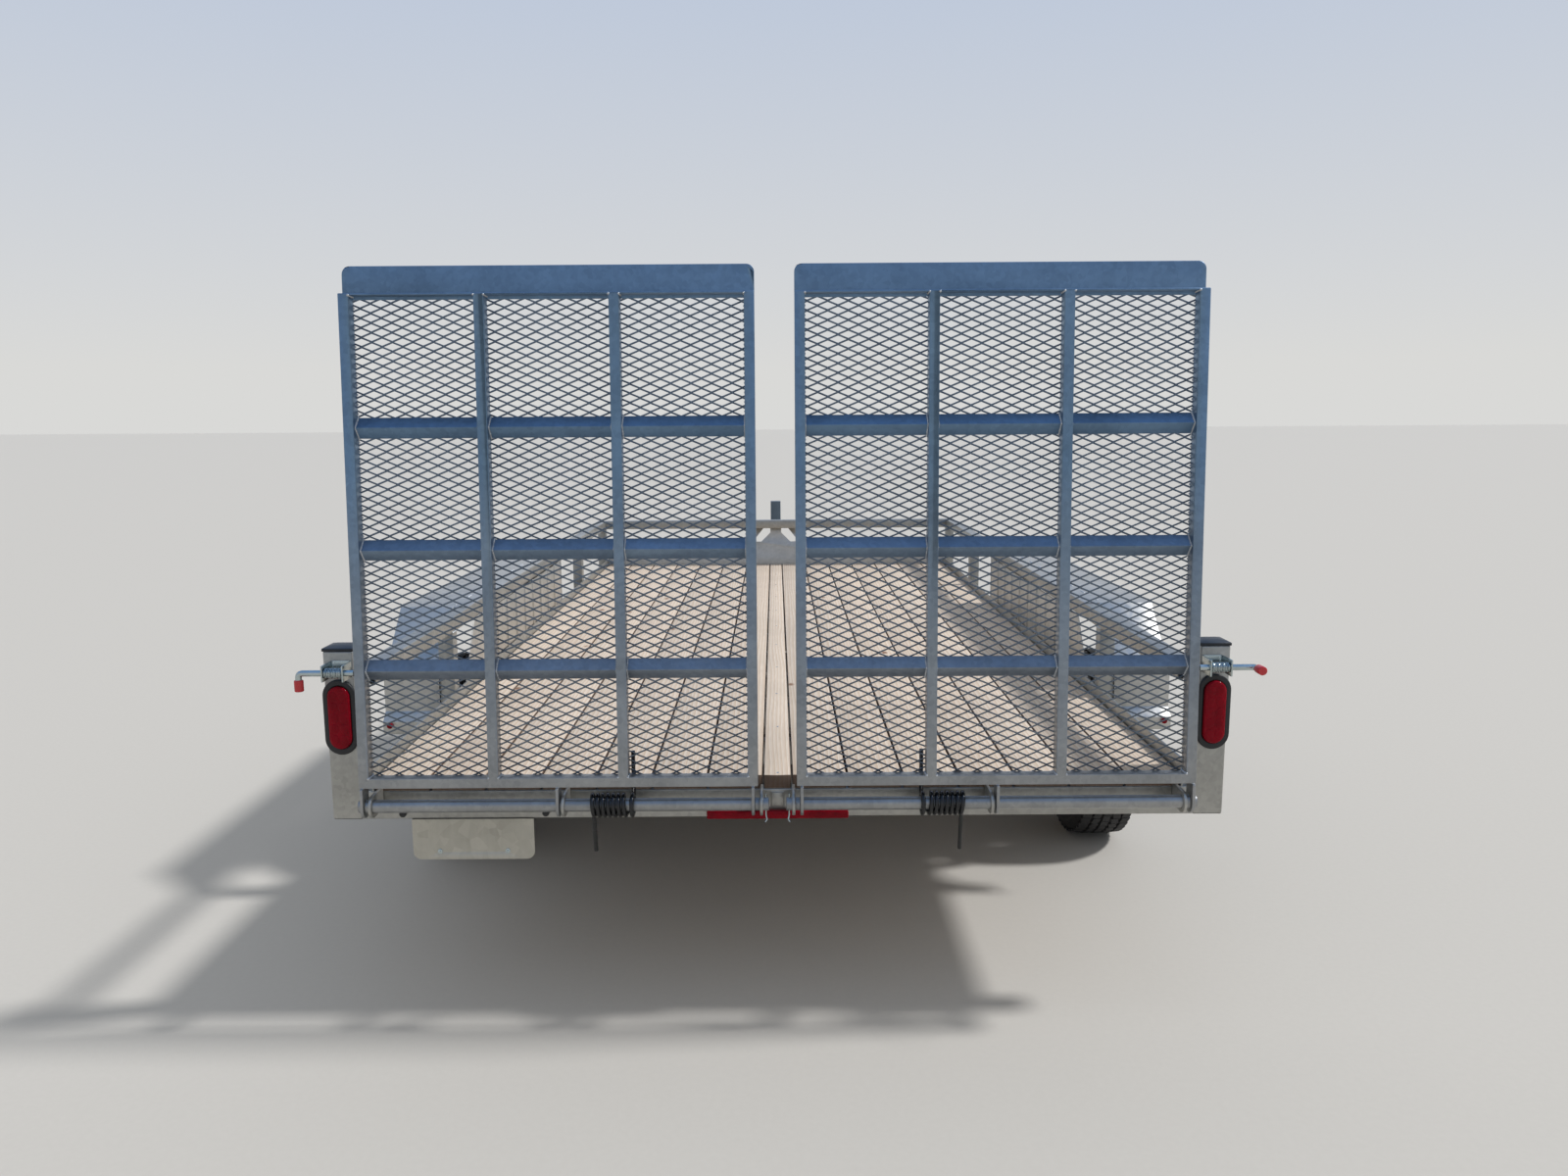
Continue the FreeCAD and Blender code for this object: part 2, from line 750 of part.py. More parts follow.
right_gate = at_gate(gate_frame())
right_mesh = at_gate(gate_mesh())
right_arm = at_gate(lift_arm())
for side, picked in (("right", lambda shape: shape), ("left", mirrored)):
    save("gate_frame_" + side, [picked(right_gate)])
    save("gate_mesh_" + side, [picked(right_mesh)])
    save("gate_spring_arm_" + side, [picked(right_arm)])
save("lift_springs", pair(lift_coil()))


# Gate latches, drawn back: a bracket with two cheeks on the post, a spring between the cheeks,
# a rod through them and a bent handle with a grip
latch_z = deck_top + latch_above_deck


def latch(bend):
    z0 = latch_z - latch_bracket_half
    z1 = latch_z + latch_bracket_half
    back = block(post_inner, post_outer, -latch_bracket_plate, 0, z0, z1)
    cheeks = [block(x, x + latch_bracket_plate, latch_y - latch_spring_radius, 0, z0, z1)
              for x in (post_inner, post_outer - latch_bracket_plate)]
    spring = pipe_along_x(post_inner, post_outer, latch_y, latch_z, latch_spring_radius)
    bar = pipe_along_x(gate_outer + latch_clearance, latch_reach, latch_y, latch_z, latch_rod_radius)
    corner = V(latch_reach - latch_rod_radius, latch_y, latch_z)
    handle = rod(corner, corner.add(bend * (latch_handle + latch_rod_radius)), latch_rod_radius - seat_gap)
    return joined([back, spring, bar, handle] + cheeks)


def latch_grip(bend):
    corner = V(latch_reach - latch_rod_radius, latch_y, latch_z)
    start = corner.add(bend * (latch_handle + latch_rod_radius))
    return rod(start, start.add(bend * grip_length), grip_radius)


handle_back = V(0, -1, 0)
handle_down = V(0, 0, -1)
save("gate_latches", [latch(handle_back), mirrored(latch(handle_down))])
save("latch_grips", [latch_grip(handle_back), mirrored(latch_grip(handle_down))])

# Axles: a round tube, spindles, brake backing plates and spring seats
hub_face = wheel_x
drum_inner = hub_face - drum_width


def axle(y):
    tube_end = drum_inner - backing_gap
    plug_end = tube_end - spindle_radius
    spindle_end = hub_face + spindle_past_face
    half = leaf_width / 2
    tube = pipe_along_x(-tube_end, tube_end, y, tyre_radius, axle_radius)
    spindle = pipe_along_x(plug_end, spindle_end, y, tyre_radius, spindle_radius)
    backing = pipe_along_x(tube_end - plate, tube_end, y, tyre_radius, drum_radius)
    seat = block(beam_middle - half, beam_middle + half, y - seat_half, y + seat_half, tyre_radius, spring_bottom)
    hollow = pipe_along_x(-plug_end, plug_end, y, tyre_radius, axle_radius - tube_wall)
    return joined([tube] + pair(spindle) + pair(backing) + pair(seat)).cut(hollow)


save("axles", [axle(y) for y in axle_places])


# Leaf springs: a stack of curved leaves, the longest with an eye at each end
def leaf_spring(y):
    radius = (spring_half_length ** 2 + spring_sag ** 2) / (2 * spring_sag)
    centre_z = main_leaf_middle + radius
    x0 = beam_middle - leaf_width / 2
    leaves = []
    for number, share in enumerate(leaf_shares):
        inner = radius - leaf_thick / 2 + number * leaf_thick
        outer = inner + leaf_thick
        sweep = math.asin(spring_half_length / radius) * share
        ends = []
        for size, way in ((inner, 1), (outer, -1)):
            points = [V(x0, y + size * math.sin(turn * sweep * way), centre_z - size * math.cos(turn * sweep))
                      for turn in (-1, 0, 1)]
            ends.append(Part.Arc(points[0], points[1], points[2]).toShape())
        first, second = ends
        closing = [Part.makeLine(first.Vertexes[-1].Point, second.Vertexes[0].Point),
                   Part.makeLine(second.Vertexes[-1].Point, first.Vertexes[0].Point)]
        outline = Part.Wire([first, closing[0], second, closing[1]])
        leaves.append(Part.Face(outline).extrude(V(leaf_width, 0, 0)))
    for side in (-1, 1):
        leaves.append(pipe_along_x(x0, x0 + leaf_width, y + side * spring_half_length, eye_z, eye_radius))
    spring = joined(leaves)
    for side in (-1, 1):
        hole = pipe_along_x(x0, x0 + leaf_width, y + side * spring_half_length, eye_z, bolt_radius + seat_gap)
        spring = spring.cut(hole)
    return spring


springs = []
for place in axle_places:
    springs += pair(leaf_spring(place))
save("leaf_springs", springs)


# Hangers below the main beams: two cheeks with a bolt through the spring's eye
def cheeks(y, outline):
    inside = leaf_width / 2 + cheek_gap
    parts = []
    for x0 in (beam_middle - inside - plate, beam_middle + inside):
        parts.append(prism_x([(y + dy, z) for dy, z in outline], x0, x0 + plate))
    return parts


def end_hanger(y):
    half = hanger_width / 2
    low = eye_z - eye_radius
    foot = half * hanger_foot_share
    outline = [(-half, frame_bottom), (half, frame_bottom), (foot, low), (-foot, low)]
    inside = leaf_width / 2 + cheek_gap + plate
    reach = inside + bolt_past_cheek
    bolt = pipe_along_x(beam_middle - reach, beam_middle + reach, y, eye_z, bolt_radius)
    top = block(beam_middle - inside, beam_middle + inside, y - half, y + half, frame_bottom - plate, frame_bottom)
    return joined(cheeks(y, outline) + [bolt, top])


def middle_hanger():
    half = hanger_width / 2
    inside = leaf_width / 2
    body = block(beam_middle - inside, beam_middle + inside, axle_group_y - half, axle_group_y + half,
                 eye_z, frame_bottom)
    x0 = beam_middle - inside
    x1 = beam_middle + inside
    z = eye_z + pivot_above_eye
    foot = pipe_along_x(x0, x1, axle_group_y, z, half)
    hole = pipe_along_x(x0, x1, axle_group_y, z, bolt_radius + seat_gap)
    return joined([body, foot]).cut(hole)


hangers = []
for place in (axle_places[0] - spring_half_length, axle_places[1] + spring_half_length):
    hangers += pair(end_hanger(place))
save("spring_hangers", hangers + pair(middle_hanger()))


# Equalisers that join the two springs of each side
def equaliser():
    arm = axle_spread / 2 - spring_half_length
    reach = arm + equaliser_end_reach
    low = eye_z - equaliser_end_low
    high = eye_z + equaliser_end_high
    top = eye_z + equaliser_top
    outline = [(-reach, low), (reach, low), (reach, high), (equaliser_top_half, top),
               (-equaliser_top_half, top), (-reach, high)]
    inside = leaf_width / 2 + cheek_gap + plate + bolt_past_cheek
    parts = cheeks(axle_group_y, outline)
    for along, above_eye in ((-arm, 0), (0, pivot_above_eye), (arm, 0)):
        y = axle_group_y + along
        parts.append(pipe_along_x(beam_middle - inside, beam_middle + inside, y, eye_z + above_eye, bolt_radius))
    return joined(parts)


save("equalisers", pair(equaliser()))

# Wheels: tyre, pressed steel rim and hub with its brake drum
bead = rim_radius + seat_gap
half_bead = rim_width / 2 - rim_wall - seat_gap
half_tyre = tyre_width / 2
tyre_profile = [(-half_bead, bead), (-half_bead, bead + 16), (-half_tyre * 0.96, bead + 45), (-half_tyre, bead + 80),
                (-half_tyre * 0.97, tyre_radius - 32), (-half_tyre * 0.86, tyre_radius - 9),
                (-half_tyre * 0.7, tyre_radius - 1.5), (-half_tyre * 0.4, tyre_radius), (half_tyre * 0.4, tyre_radius),
                (half_tyre * 0.7, tyre_radius - 1.5), (half_tyre * 0.86, tyre_radius - 9),
                (half_tyre * 0.97, tyre_radius - 32), (half_tyre, bead + 80), (half_tyre * 0.96, bead + 45),
                (half_bead, bead + 16), (half_bead, bead)]


def rim(x, y):
    half = rim_width / 2
    lip = rim_radius + rim_flange
    well = rim_radius - 18
    inner = rim_radius - rim_wall
    barrel = [(-half, lip), (-half + rim_wall, lip), (-half + rim_wall, rim_radius), (-half + 24, rim_radius),
              (-half + 34, well), (half - 44, well), (half - 34, rim_radius), (half - rim_wall, rim_radius),
              (half - rim_wall, lip), (half, lip), (half, inner), (half - 36, inner), (half - 46, well - rim_wall),
              (-half + 36, well - rim_wall), (-half + 26, inner), (-half, inner)]
    disc = [(0, hub_radius + seat_gap), (0, 86), (20, 108), (24, 135), (10, well - 2), (10 + plate, well - 2),
            (24 + plate, 135), (20 + plate, 104), (plate, 82), (plate, hub_radius + seat_gap)]
    wheel = joined([turned(barrel, x, y, tyre_radius), turned(disc, x, y, tyre_radius)])
    for dy, dz in circle_places(stud_count, stud_circle / 2, 0):
        wheel = wheel.cut(pipe_along_x(x - plate, x + 2 * plate, y + dy, tyre_radius + dz, stud_radius + seat_gap))
    for dy, dz in circle_places(hand_hole_count, hand_hole_circle, 0.5):
        wheel = wheel.cut(pipe_along_x(x - plate, x + rim_width / 2, y + dy, tyre_radius + dz, hand_hole_radius))
    return wheel


def hub(x, y):
    bore = spindle_radius + seat_gap
    boss = hub_radius + hub_cap_chamfer
    drum_bore = drum_radius - drum_wall
    profile = [(-drum_width, bore), (-drum_width, boss), (-drum_face, boss), (-drum_face, drum_bore),
               (-drum_width, drum_bore), (-drum_width, drum_radius), (0, drum_radius), (0, hub_radius),
               (hub_cap_length - 1.5 * hub_cap_chamfer, hub_radius), (hub_cap_length, hub_radius - hub_cap_chamfer),
               (hub_cap_length, 0), (spindle_past_face + drum_face, 0), (spindle_past_face + drum_face, bore)]
    parts = [turned(profile, x, y, tyre_radius)]
    nut_start = x + plate + seat_gap
    for dy, dz in circle_places(stud_count, stud_circle / 2, 0):
        parts.append(pipe_along_x(x - seat_gap, x + stud_past_face, y + dy, tyre_radius + dz, stud_radius))
        parts.append(pipe_along_x(nut_start, nut_start + nut_length, y + dy, tyre_radius + dz, nut_radius))
    return joined(parts)


for end, place in (("rear", axle_places[0]), ("front", axle_places[1])):
    tyre = turned(tyre_profile, wheel_x, place, tyre_radius)
    wheel = rim(wheel_x, place)
    wheel_hub = hub(wheel_x, place)
    for side, picked in (("right", lambda shape: shape), ("left", mirrored)):
        save("tyre_" + end + "_" + side, [picked(tyre)])
        save("rim_" + end + "_" + side, [picked(wheel)])
        save("hub_" + end + "_" + side, [picked(wheel_hub)])

# Tongue: two tubes that run from below the main beams to the coupler
tongue_top = frame_bottom
tongue_bottom = frame_bottom - frame_height
tongue_front = ball_y - tongue_set_back
tongue_length = (beam_middle - tongue_front_half) / math.sin(math.radians(tongue_angle))


def tongue_tube():
    half = beam_width / 2
    outer = block(-half, half, -tongue_length, 0, tongue_bottom, tongue_top)
    inner = block(-half + tube_wall, half - tube_wall, -tongue_length, 0, tongue_bottom + tube_wall,
                  tongue_top - tube_wall)
    tube = outer.cut(inner)
    tube.rotate(V(0, 0, 0), Z_AXIS, tongue_angle)
    tube.translate(V(tongue_front_half, tongue_front, 0))
    return tube


save("tongue_tubes", pair(tongue_tube()))


# Coupler: a pressed housing over the ball with a plate on top of the tongue
def coupler():
    half = coupler_radius - 4
    tail = ball_y - coupler_plate_length
    low = ball_height - coupler_below_ball
    wide = half + coupler_plate_tail
    flat = [(-half, ball_y), (-wide, tail), (wide, tail), (half, ball_y)]
    top = prism_z(flat, tongue_top, tongue_top + plate)
    housing = Part.makeCylinder(coupler_radius, tongue_top + plate - low, V(0, ball_y, low), Z_AXIS)
    throat = block(-half, half, tongue_front + plate, ball_y, low, tongue_top)
    ball = Part.makeSphere(ball_radius + seat_gap, V(0, ball_y, ball_height))
    mouth = Part.makeCylinder(ball_radius + seat_gap, 2 * coupler_below_ball,
                              V(0, ball_y, ball_height - 2 * coupler_below_ball), Z_AXIS)
    return joined([top, housing, throat]).cut(ball).cut(mouth)


def coupler_latch():
    z = tongue_top + plate
    back = tongue_front + 10
    base = block(-14, 14, back, back + 50, z, z + 30)
    lever = prism_x([(back, z + 18), (back, z + 30), (back - latch_lever_length, z + 48),
                     (back - latch_lever_length, z + 40)], -latch_lever_half, latch_lever_half)
    return joined([base, lever])


save("coupler", [coupler()])
save("coupler_latch", [coupler_latch()])

# Jack: square tube held by a plate between the tongue tubes, with a crank, and the leg that slides in it
jack_y = ball_y - jack_behind_ball
jack_top = deck_top + jack_top_above_deck


def jack_tube():
    half = jack_size / 2
    bore = half - jack_wall
    outer = block(-half, half, jack_y - half, jack_y + half, jack_bottom, jack_top)
    inner = block(-bore, bore, jack_y - bore, jack_y + bore, jack_bottom, jack_top - jack_wall)
    reach = tongue_front_half + (tongue_front - jack_y) * math.tan(math.radians(tongue_angle))
    lap = half + jack_flange_lap
    flange = block(-reach, reach, jack_y - lap, jack_y + lap, tongue_top, tongue_top + plate)
    return joined([outer, flange]).cut(inner)


def jack_crank():
    z = jack_top - crank_below_top
    y = jack_y + jack_size / 2
    end = y + crank_shaft
    low = z - crank_arm
    shaft = rod(V(0, y, z), V(0, end, z), crank_shaft_radius)
    arm = block(-crank_shaft_radius, crank_shaft_radius, end - plate, end, low, z + crank_knob_radius)
    knob = rod(V(0, end - plate, low + crank_knob_radius), V(0, end + crank_knob, low + crank_knob_radius),
               crank_knob_radius)
    return joined([shaft, arm, knob])


def jack_leg():
    half = jack_size / 2 - jack_wall - seat_gap
    bore = half - jack_wall
    outer = block(-half, half, jack_y - half, jack_y + half, jack_foot_thick, jack_leg_top)
    inner = block(-bore, bore, jack_y - bore, jack_y + bore, jack_foot_thick, jack_leg_top)
    foot_half = jack_foot_size / 2
    foot = block(-foot_half, foot_half, jack_y - foot_half, jack_y + foot_half, 0, jack_foot_thick)
    return joined([outer.cut(inner), foot])


save("jack_tube", [jack_tube()])
save("jack_crank", [jack_crank()])
save("jack_leg", [jack_leg()])

print("middle_y", round(middle_y, 3))
print("hinge", round(hinge_y - middle_y, 3), round(hinge_z, 3))
print("axles", [round(y - middle_y, 3) for y in axle_places])
print("jack", round(jack_y - middle_y, 3), "ball", round(ball_y - middle_y, 3), ball_height)
print("latch", round(latch_y - middle_y, 3), "eye", round(eye_z, 3), "rear reach", round(rear_reach, 3))
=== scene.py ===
import json
import math
import random

import bpy
from mathutils import Matrix, Vector


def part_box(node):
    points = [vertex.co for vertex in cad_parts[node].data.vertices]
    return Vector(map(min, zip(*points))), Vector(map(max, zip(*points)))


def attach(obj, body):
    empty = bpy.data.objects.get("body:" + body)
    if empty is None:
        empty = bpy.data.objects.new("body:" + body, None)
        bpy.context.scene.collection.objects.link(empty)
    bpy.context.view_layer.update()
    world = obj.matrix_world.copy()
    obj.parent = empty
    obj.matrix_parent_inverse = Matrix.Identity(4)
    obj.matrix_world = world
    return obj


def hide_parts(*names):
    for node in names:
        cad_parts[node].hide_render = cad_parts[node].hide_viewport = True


# Tandem-axle utility trailer with two mesh ramp gates, seen from behind as in the photograph.
# Metres, X to the right, Y towards the coupler, Z up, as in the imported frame.
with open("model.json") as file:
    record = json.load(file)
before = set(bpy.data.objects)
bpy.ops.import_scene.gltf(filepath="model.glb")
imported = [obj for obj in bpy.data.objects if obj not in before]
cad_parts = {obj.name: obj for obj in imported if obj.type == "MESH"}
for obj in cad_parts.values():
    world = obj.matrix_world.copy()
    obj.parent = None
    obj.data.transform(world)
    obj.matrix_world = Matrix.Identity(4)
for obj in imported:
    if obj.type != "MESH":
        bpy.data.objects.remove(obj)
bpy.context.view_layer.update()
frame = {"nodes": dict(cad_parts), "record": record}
cad_nodes = frame["nodes"]
body_with = {node: body for body, held in frame["record"]["behaviour"]["bodies"].items() for node in held}
joints = {joint["name"]: joint for joint in frame["record"]["behaviour"]["joints"]}
hinge = Vector([0.0] + joints["gate_right_hinge"]["pos_m"][1:])
deck_low, deck_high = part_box("deck_planks")
deck_rear, deck_front, deck_top = deck_low[1], deck_high[1], deck_high[2]


# Photographer's stand: the camera 1.57 m up behind the gates, a wide pale card for a floor, a soft sun from
# the right and a plain bright sky. The backdrop is what camera, gloss and glass see of the world.
def linear(code):
    """An sRGB hex colour as linear red, green, blue, alpha."""
    parts = [int(code[place:place + 2], 16) / 255 for place in (1, 3, 5)]
    shades = [part / 12.92 if part <= 0.04045 else ((part + 0.055) / 1.055) ** 2.4 for part in parts]
    return (*shades, 1.0)


def add_node(tree, kind, settings=None, inputs=None):
    """Adds one node, with its settings, and its inputs as plain values or as links."""
    made = tree.nodes.new(kind)
    for name, value in (settings or {}).items():
        setattr(made, name, value)
    for name, value in (inputs or {}).items():
        if isinstance(value, bpy.types.NodeSocket):
            tree.links.new(value, made.inputs[name])
        else:
            made.inputs[name].default_value = value
    return made


def new_finish(name):
    """An empty node material, its tree and the place on the object that its patterns follow."""
    finish = bpy.data.materials.new(name)
    finish.use_nodes = True
    finish.node_tree.nodes.clear()
    return finish, finish.node_tree, add_node(finish.node_tree, "ShaderNodeTexCoord").outputs["Object"]


def close_finish(tree, settings):
    """The shader and the output that end a finish."""
    shader = add_node(tree, "ShaderNodeBsdfPrincipled", None, settings)
    add_node(tree, "ShaderNodeOutputMaterial", None, {"Surface": shader.outputs["BSDF"]})


def mix(tree, factor, first, second, blend="MIX"):
    """Two colours mixed by a factor."""
    return add_node(tree, "ShaderNodeMix", {"data_type": "RGBA", "blend_type": blend},
                    {"Factor": factor, "A": first, "B": second}).outputs["Result"]


def spread(tree, value, low, high, to_low=0.0, to_high=1.0):
    """A value carried from one range to another."""
    return add_node(tree, "ShaderNodeMapRange", None,
                    {"Value": value, "From Min": low, "From Max": high, "To Min": to_low,
                     "To Max": to_high}).outputs["Result"]


def fresh(add, **settings):
    """A new primitive, added with nothing else selected."""
    bpy.ops.object.select_all(action="DESELECT")
    add(**settings)
    return bpy.context.object


camera_data = bpy.data.cameras.new("camera")
camera_data.lens = 26.2
camera_data.sensor_width = 36.0
camera_data.shift_x = 0.005
camera = bpy.data.objects.new("camera", camera_data)
bpy.context.scene.collection.objects.link(camera)
camera.location = (0.0, hinge.y - 2.800, 1.568)
pitch = Matrix.Rotation(math.radians(90.0 - 8.62), 4, "X")
roll = Matrix.Rotation(math.radians(-0.38), 4, "Z")
camera.matrix_world = Matrix.Translation(camera.location) @ pitch @ roll
bpy.context.scene.camera = camera

floor = fresh(bpy.ops.mesh.primitive_plane_add, size=240.0, location=(0, 0, 0))
floor.name = "floor"
floor_card, tree, place = new_finish("pale_card")
grain = add_node(tree, "ShaderNodeTexNoise", None, {"Vector": place, "Scale": 60.0, "Detail": 4.0})
card = mix(tree, grain.outputs["Fac"], linear("#cbc9c5"), linear("#d0ceca"))
close_finish(tree, {"Base Color": card, "Roughness": 0.95})
floor.data.materials.append(floor_card)

world = bpy.data.worlds.new("plain_sky")
bpy.context.scene.world = world
world.use_nodes = True
tree = world.node_tree
tree.nodes.clear()
ray = add_node(tree, "ShaderNodeLightPath")
mirrored = add_node(tree, "ShaderNodeMath", {"operation": "MAXIMUM"},
                    {0: ray.outputs["Is Glossy Ray"], 1: ray.outputs["Is Transmission Ray"]})
seen = add_node(tree, "ShaderNodeMath", {"operation": "MAXIMUM"},
                {0: ray.outputs["Is Camera Ray"], 1: mirrored.outputs[0]})
way = add_node(tree, "ShaderNodeTexCoord")
rise = add_node(tree, "ShaderNodeSeparateXYZ", None, {"Vector": way.outputs["Generated"]})
sky = mix(tree, spread(tree, rise.outputs["Z"], 0.04, 0.80), linear("#dededc"), linear("#86aee4"))
backdrop = add_node(tree, "ShaderNodeBackground", None, {"Color": sky, "Strength": 0.95})
fill = add_node(tree, "ShaderNodeBackground", None, {"Color": linear("#eef2f7"), "Strength": 0.54})
both = add_node(tree, "ShaderNodeMixShader", None,
                {0: seen.outputs[0], 1: fill.outputs[0], 2: backdrop.outputs[0]})
add_node(tree, "ShaderNodeOutputWorld", None, {"Surface": both.outputs[0]})

sun_data = bpy.data.lights.new("key_sun", "SUN")
sun_data.energy = 2.4
sun_data.angle = math.radians(6.0)
sun_data.color = (1.0, 0.97, 0.93)
sun = bpy.data.objects.new("key_sun", sun_data)
sun.rotation_euler = Vector((-0.95, -0.08, -1.0)).to_track_quat("-Z", "Y").to_euler()
bpy.context.scene.collection.objects.link(sun)
bpy.context.scene.view_settings.view_transform = "Standard"


# Chassis: mild steel channel, tube and angle, welded and then dipped whole in molten zinc. The sawn edges
# and tube corners are slightly round and the zinc lies over them.
def select_only(*objects):
    """Leaves these objects selected, the last one active."""
    bpy.ops.object.select_all(action="DESELECT")
    for each in objects:
        each.select_set(True)
        bpy.context.view_layer.objects.active = each


def settle(piece, body, finish, smooth=35.0):
    """Puts a finished piece's place into its mesh, gives it its finish and its body."""
    select_only(piece)
    bpy.ops.object.transform_apply(location=True, rotation=True, scale=True)
    bpy.ops.object.shade_smooth_by_angle(angle=math.radians(smooth))
    piece.data.materials.clear()
    piece.data.materials.append(finish)
    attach(piece, body)
    return piece


def edit_all():
    """Edit mode with everything selected."""
    bpy.ops.object.mode_set(mode="EDIT")
    bpy.ops.mesh.select_all(action="SELECT")


def edit_marked(kind):
    """Edit mode with only the faces or edges that were marked."""
    bpy.ops.object.mode_set(mode="EDIT")
    bpy.ops.mesh.select_mode(type=kind)


def edge_round(piece, width, segments=2, angle=30.0, clamp=False):
    """Rounds the sharp edges of a piece."""
    select_only(piece)
    rounding = piece.modifiers.new("rounded_edges", "BEVEL")
    rounding.width = width
    rounding.segments = segments
    rounding.limit_method = "ANGLE"
    rounding.angle_limit = math.radians(angle)
    rounding.use_clamp_overlap = clamp
    bpy.ops.object.modifier_apply(modifier=rounding.name)


def dressed(node, finish, width=0.0015, segments=2, angle=30.0, clamp=False, flatten=True):
    """A merged copy of a CAD node with rounded edges, which stands for it."""
    piece = cad_nodes[node].copy()
    piece.data = cad_nodes[node].data.copy()
    for key in [key for key in piece.keys() if key.startswith("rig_")]:
        del piece[key]
    piece.parent = None
    piece.matrix_world = Matrix.Identity(4)
    piece.name = node + "_dressed"
    bpy.context.scene.collection.objects.link(piece)
    select_only(piece)
    edit_all()
    bpy.ops.mesh.remove_doubles(threshold=0.00002)
    if flatten:
        bpy.ops.mesh.dissolve_limited(angle_limit=math.radians(0.5))
    bpy.ops.object.mode_set(mode="OBJECT")
    if width:
        edge_round(piece, width, segments, angle, clamp)
    settle(piece, body_with[node], finish)
    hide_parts(node)
    return piece


def take_shape(piece):
    """The mesh of a finished pattern, whose object goes."""
    shape = piece.data
    bpy.data.objects.remove(piece)
    return shape


def scatter(shape, name, places):
    """Copies of a shape at these places, each with its own mesh, joined."""
    copies = []
    for place in places:
        copy = bpy.data.objects.new(name, shape.copy())
        copy.matrix_world = place
        bpy.context.scene.collection.objects.link(copy)
        copies.append(copy)
    select_only(*copies)
    bpy.ops.object.join()
    bpy.context.object.name = name
    return bpy.context.object


def per_metre(millimetres):
    """The scale of a pattern whose features are this far apart."""
    return 1000.0 / millimetres


def noise(tree, place, apart_mm, detail, roughness=0.5):
    """Clouds of noise, this far apart."""
    return add_node(tree, "ShaderNodeTexNoise", None,
                    {"Vector": place, "Scale": per_metre(apart_mm), "Detail": detail,
                     "Roughness": roughness}).outputs["Fac"]


def times_plus(tree, first, second, third):
    """First times second, plus third."""
    return add_node(tree, "ShaderNodeMath", {"operation": "MULTIPLY_ADD"},
                    {0: first, 1: second, 2: third}).outputs[0]


def bump(tree, height, strength, depth):
    """A relief of this depth in metres."""
    return add_node(tree, "ShaderNodeBump", None,
                    {"Height": height, "Strength": strength, "Distance": depth}).outputs["Normal"]


def zinc_finish(name, light, dark, rough, spangle_mm, streak=0.0, sky=0.0):
    """Zinc from the bath: crystals that each turn the light a little differently, and clouds where it ran.
    Its base colour is also painted bluer with height, by the share called sky: a painted sky reflection.
    This blue is no real reflection, so it stays when the gates are lowered."""
    finish, tree, place = new_finish(name)
    crystal = add_node(tree, "ShaderNodeTexVoronoi", None, {"Vector": place, "Scale": per_metre(spangle_mm)})
    tone = add_node(tree, "ShaderNodeSeparateColor", None, {"Color": crystal.outputs["Color"]})
    along = add_node(tree, "ShaderNodeMapping", None, {"Vector": place, "Scale": (9.0, 9.0, 1.1)})
    clouded = times_plus(tree, tone.outputs["Red"], 0.22, noise(tree, place, 160.0, 5.0, 0.6))
    streaked = times_plus(tree, noise(tree, along.outputs["Vector"], 90.0, 3.0), streak, clouded)
    level = spread(tree, streaked, 0.30 + streak / 3, 0.92 + streak / 2)
    colour = mix(tree, level, linear(dark), linear(light))
    rise = add_node(tree, "ShaderNodeSeparateXYZ", None, {"Vector": place})
    # Painted sky reflection: from 0.62 m up to 1.45 m the base colour is tinted blue, by the share called
    # sky.
    painted_sky_share_by_height = spread(tree, rise.outputs["Z"], 0.62, 1.45, 0.0, sky)
    painted_sky_tint = mix(tree, painted_sky_share_by_height, (1, 1, 1, 1), (0.42, 0.72, 1.12, 1))
    gloss = spread(tree, tone.outputs["Green"], 0.0, 1.0, rough - 0.05, rough + 0.09)
    close_finish(tree, {"Base Color": mix(tree, 1.0, colour, painted_sky_tint, "MULTIPLY"), "Metallic": 0.68,
                        "Roughness": gloss,
                        "Normal": bump(tree, noise(tree, place, 7.0, 3.0), 0.16, 0.0004)})
    return finish


# Hot-dip zinc on thick steel is satin with crystals about a centimetre wide
# The last number is the share of painted sky reflection.
dipped_zinc = zinc_finish("hot_dip_zinc", "#b1b0ab", "#8f8f8b", 0.36, 11.0, 0.10, 0.25)
for node, width in (("main_beams", 0.0015), ("cross_members", 0.0015), ("rear_crossmember", 0.003),
                    ("front_crossmember", 0.003), ("deck_edge_angles", 0.0015)):
    dressed(node, dipped_zinc, width)


# Weld beads: a row of small overlapping lumps of weld metal left by the torch in each corner where two
# members meet, zinc-covered; their near-white zinc is a painted highlight. One lump is shaped and copied.
def shape_ball(long, deep, tall, segments, rings):
    """A ball stretched to this size."""
    ball = fresh(bpy.ops.mesh.primitive_uv_sphere_add, segments=segments, ring_count=rings, radius=0.5)
    edit_all()
    bpy.ops.transform.resize(value=(long, deep, tall), center_override=(0, 0, 0))
    bpy.ops.object.mode_set(mode="OBJECT")
    return take_shape(ball)


bead_wide = 0.0062
bead_shape = shape_ball(bead_wide * 0.85, bead_wide, bead_wide, 8, 5)
bead_step = 0.0042
# Painted highlight: the beads' zinc is near white, lighter than the zinc they lie on.
weld_zinc_painted_highlight = zinc_finish("zinc_over_weld_painted_highlight", "#d3d5d6", "#a7abae", 0.34, 5.0)


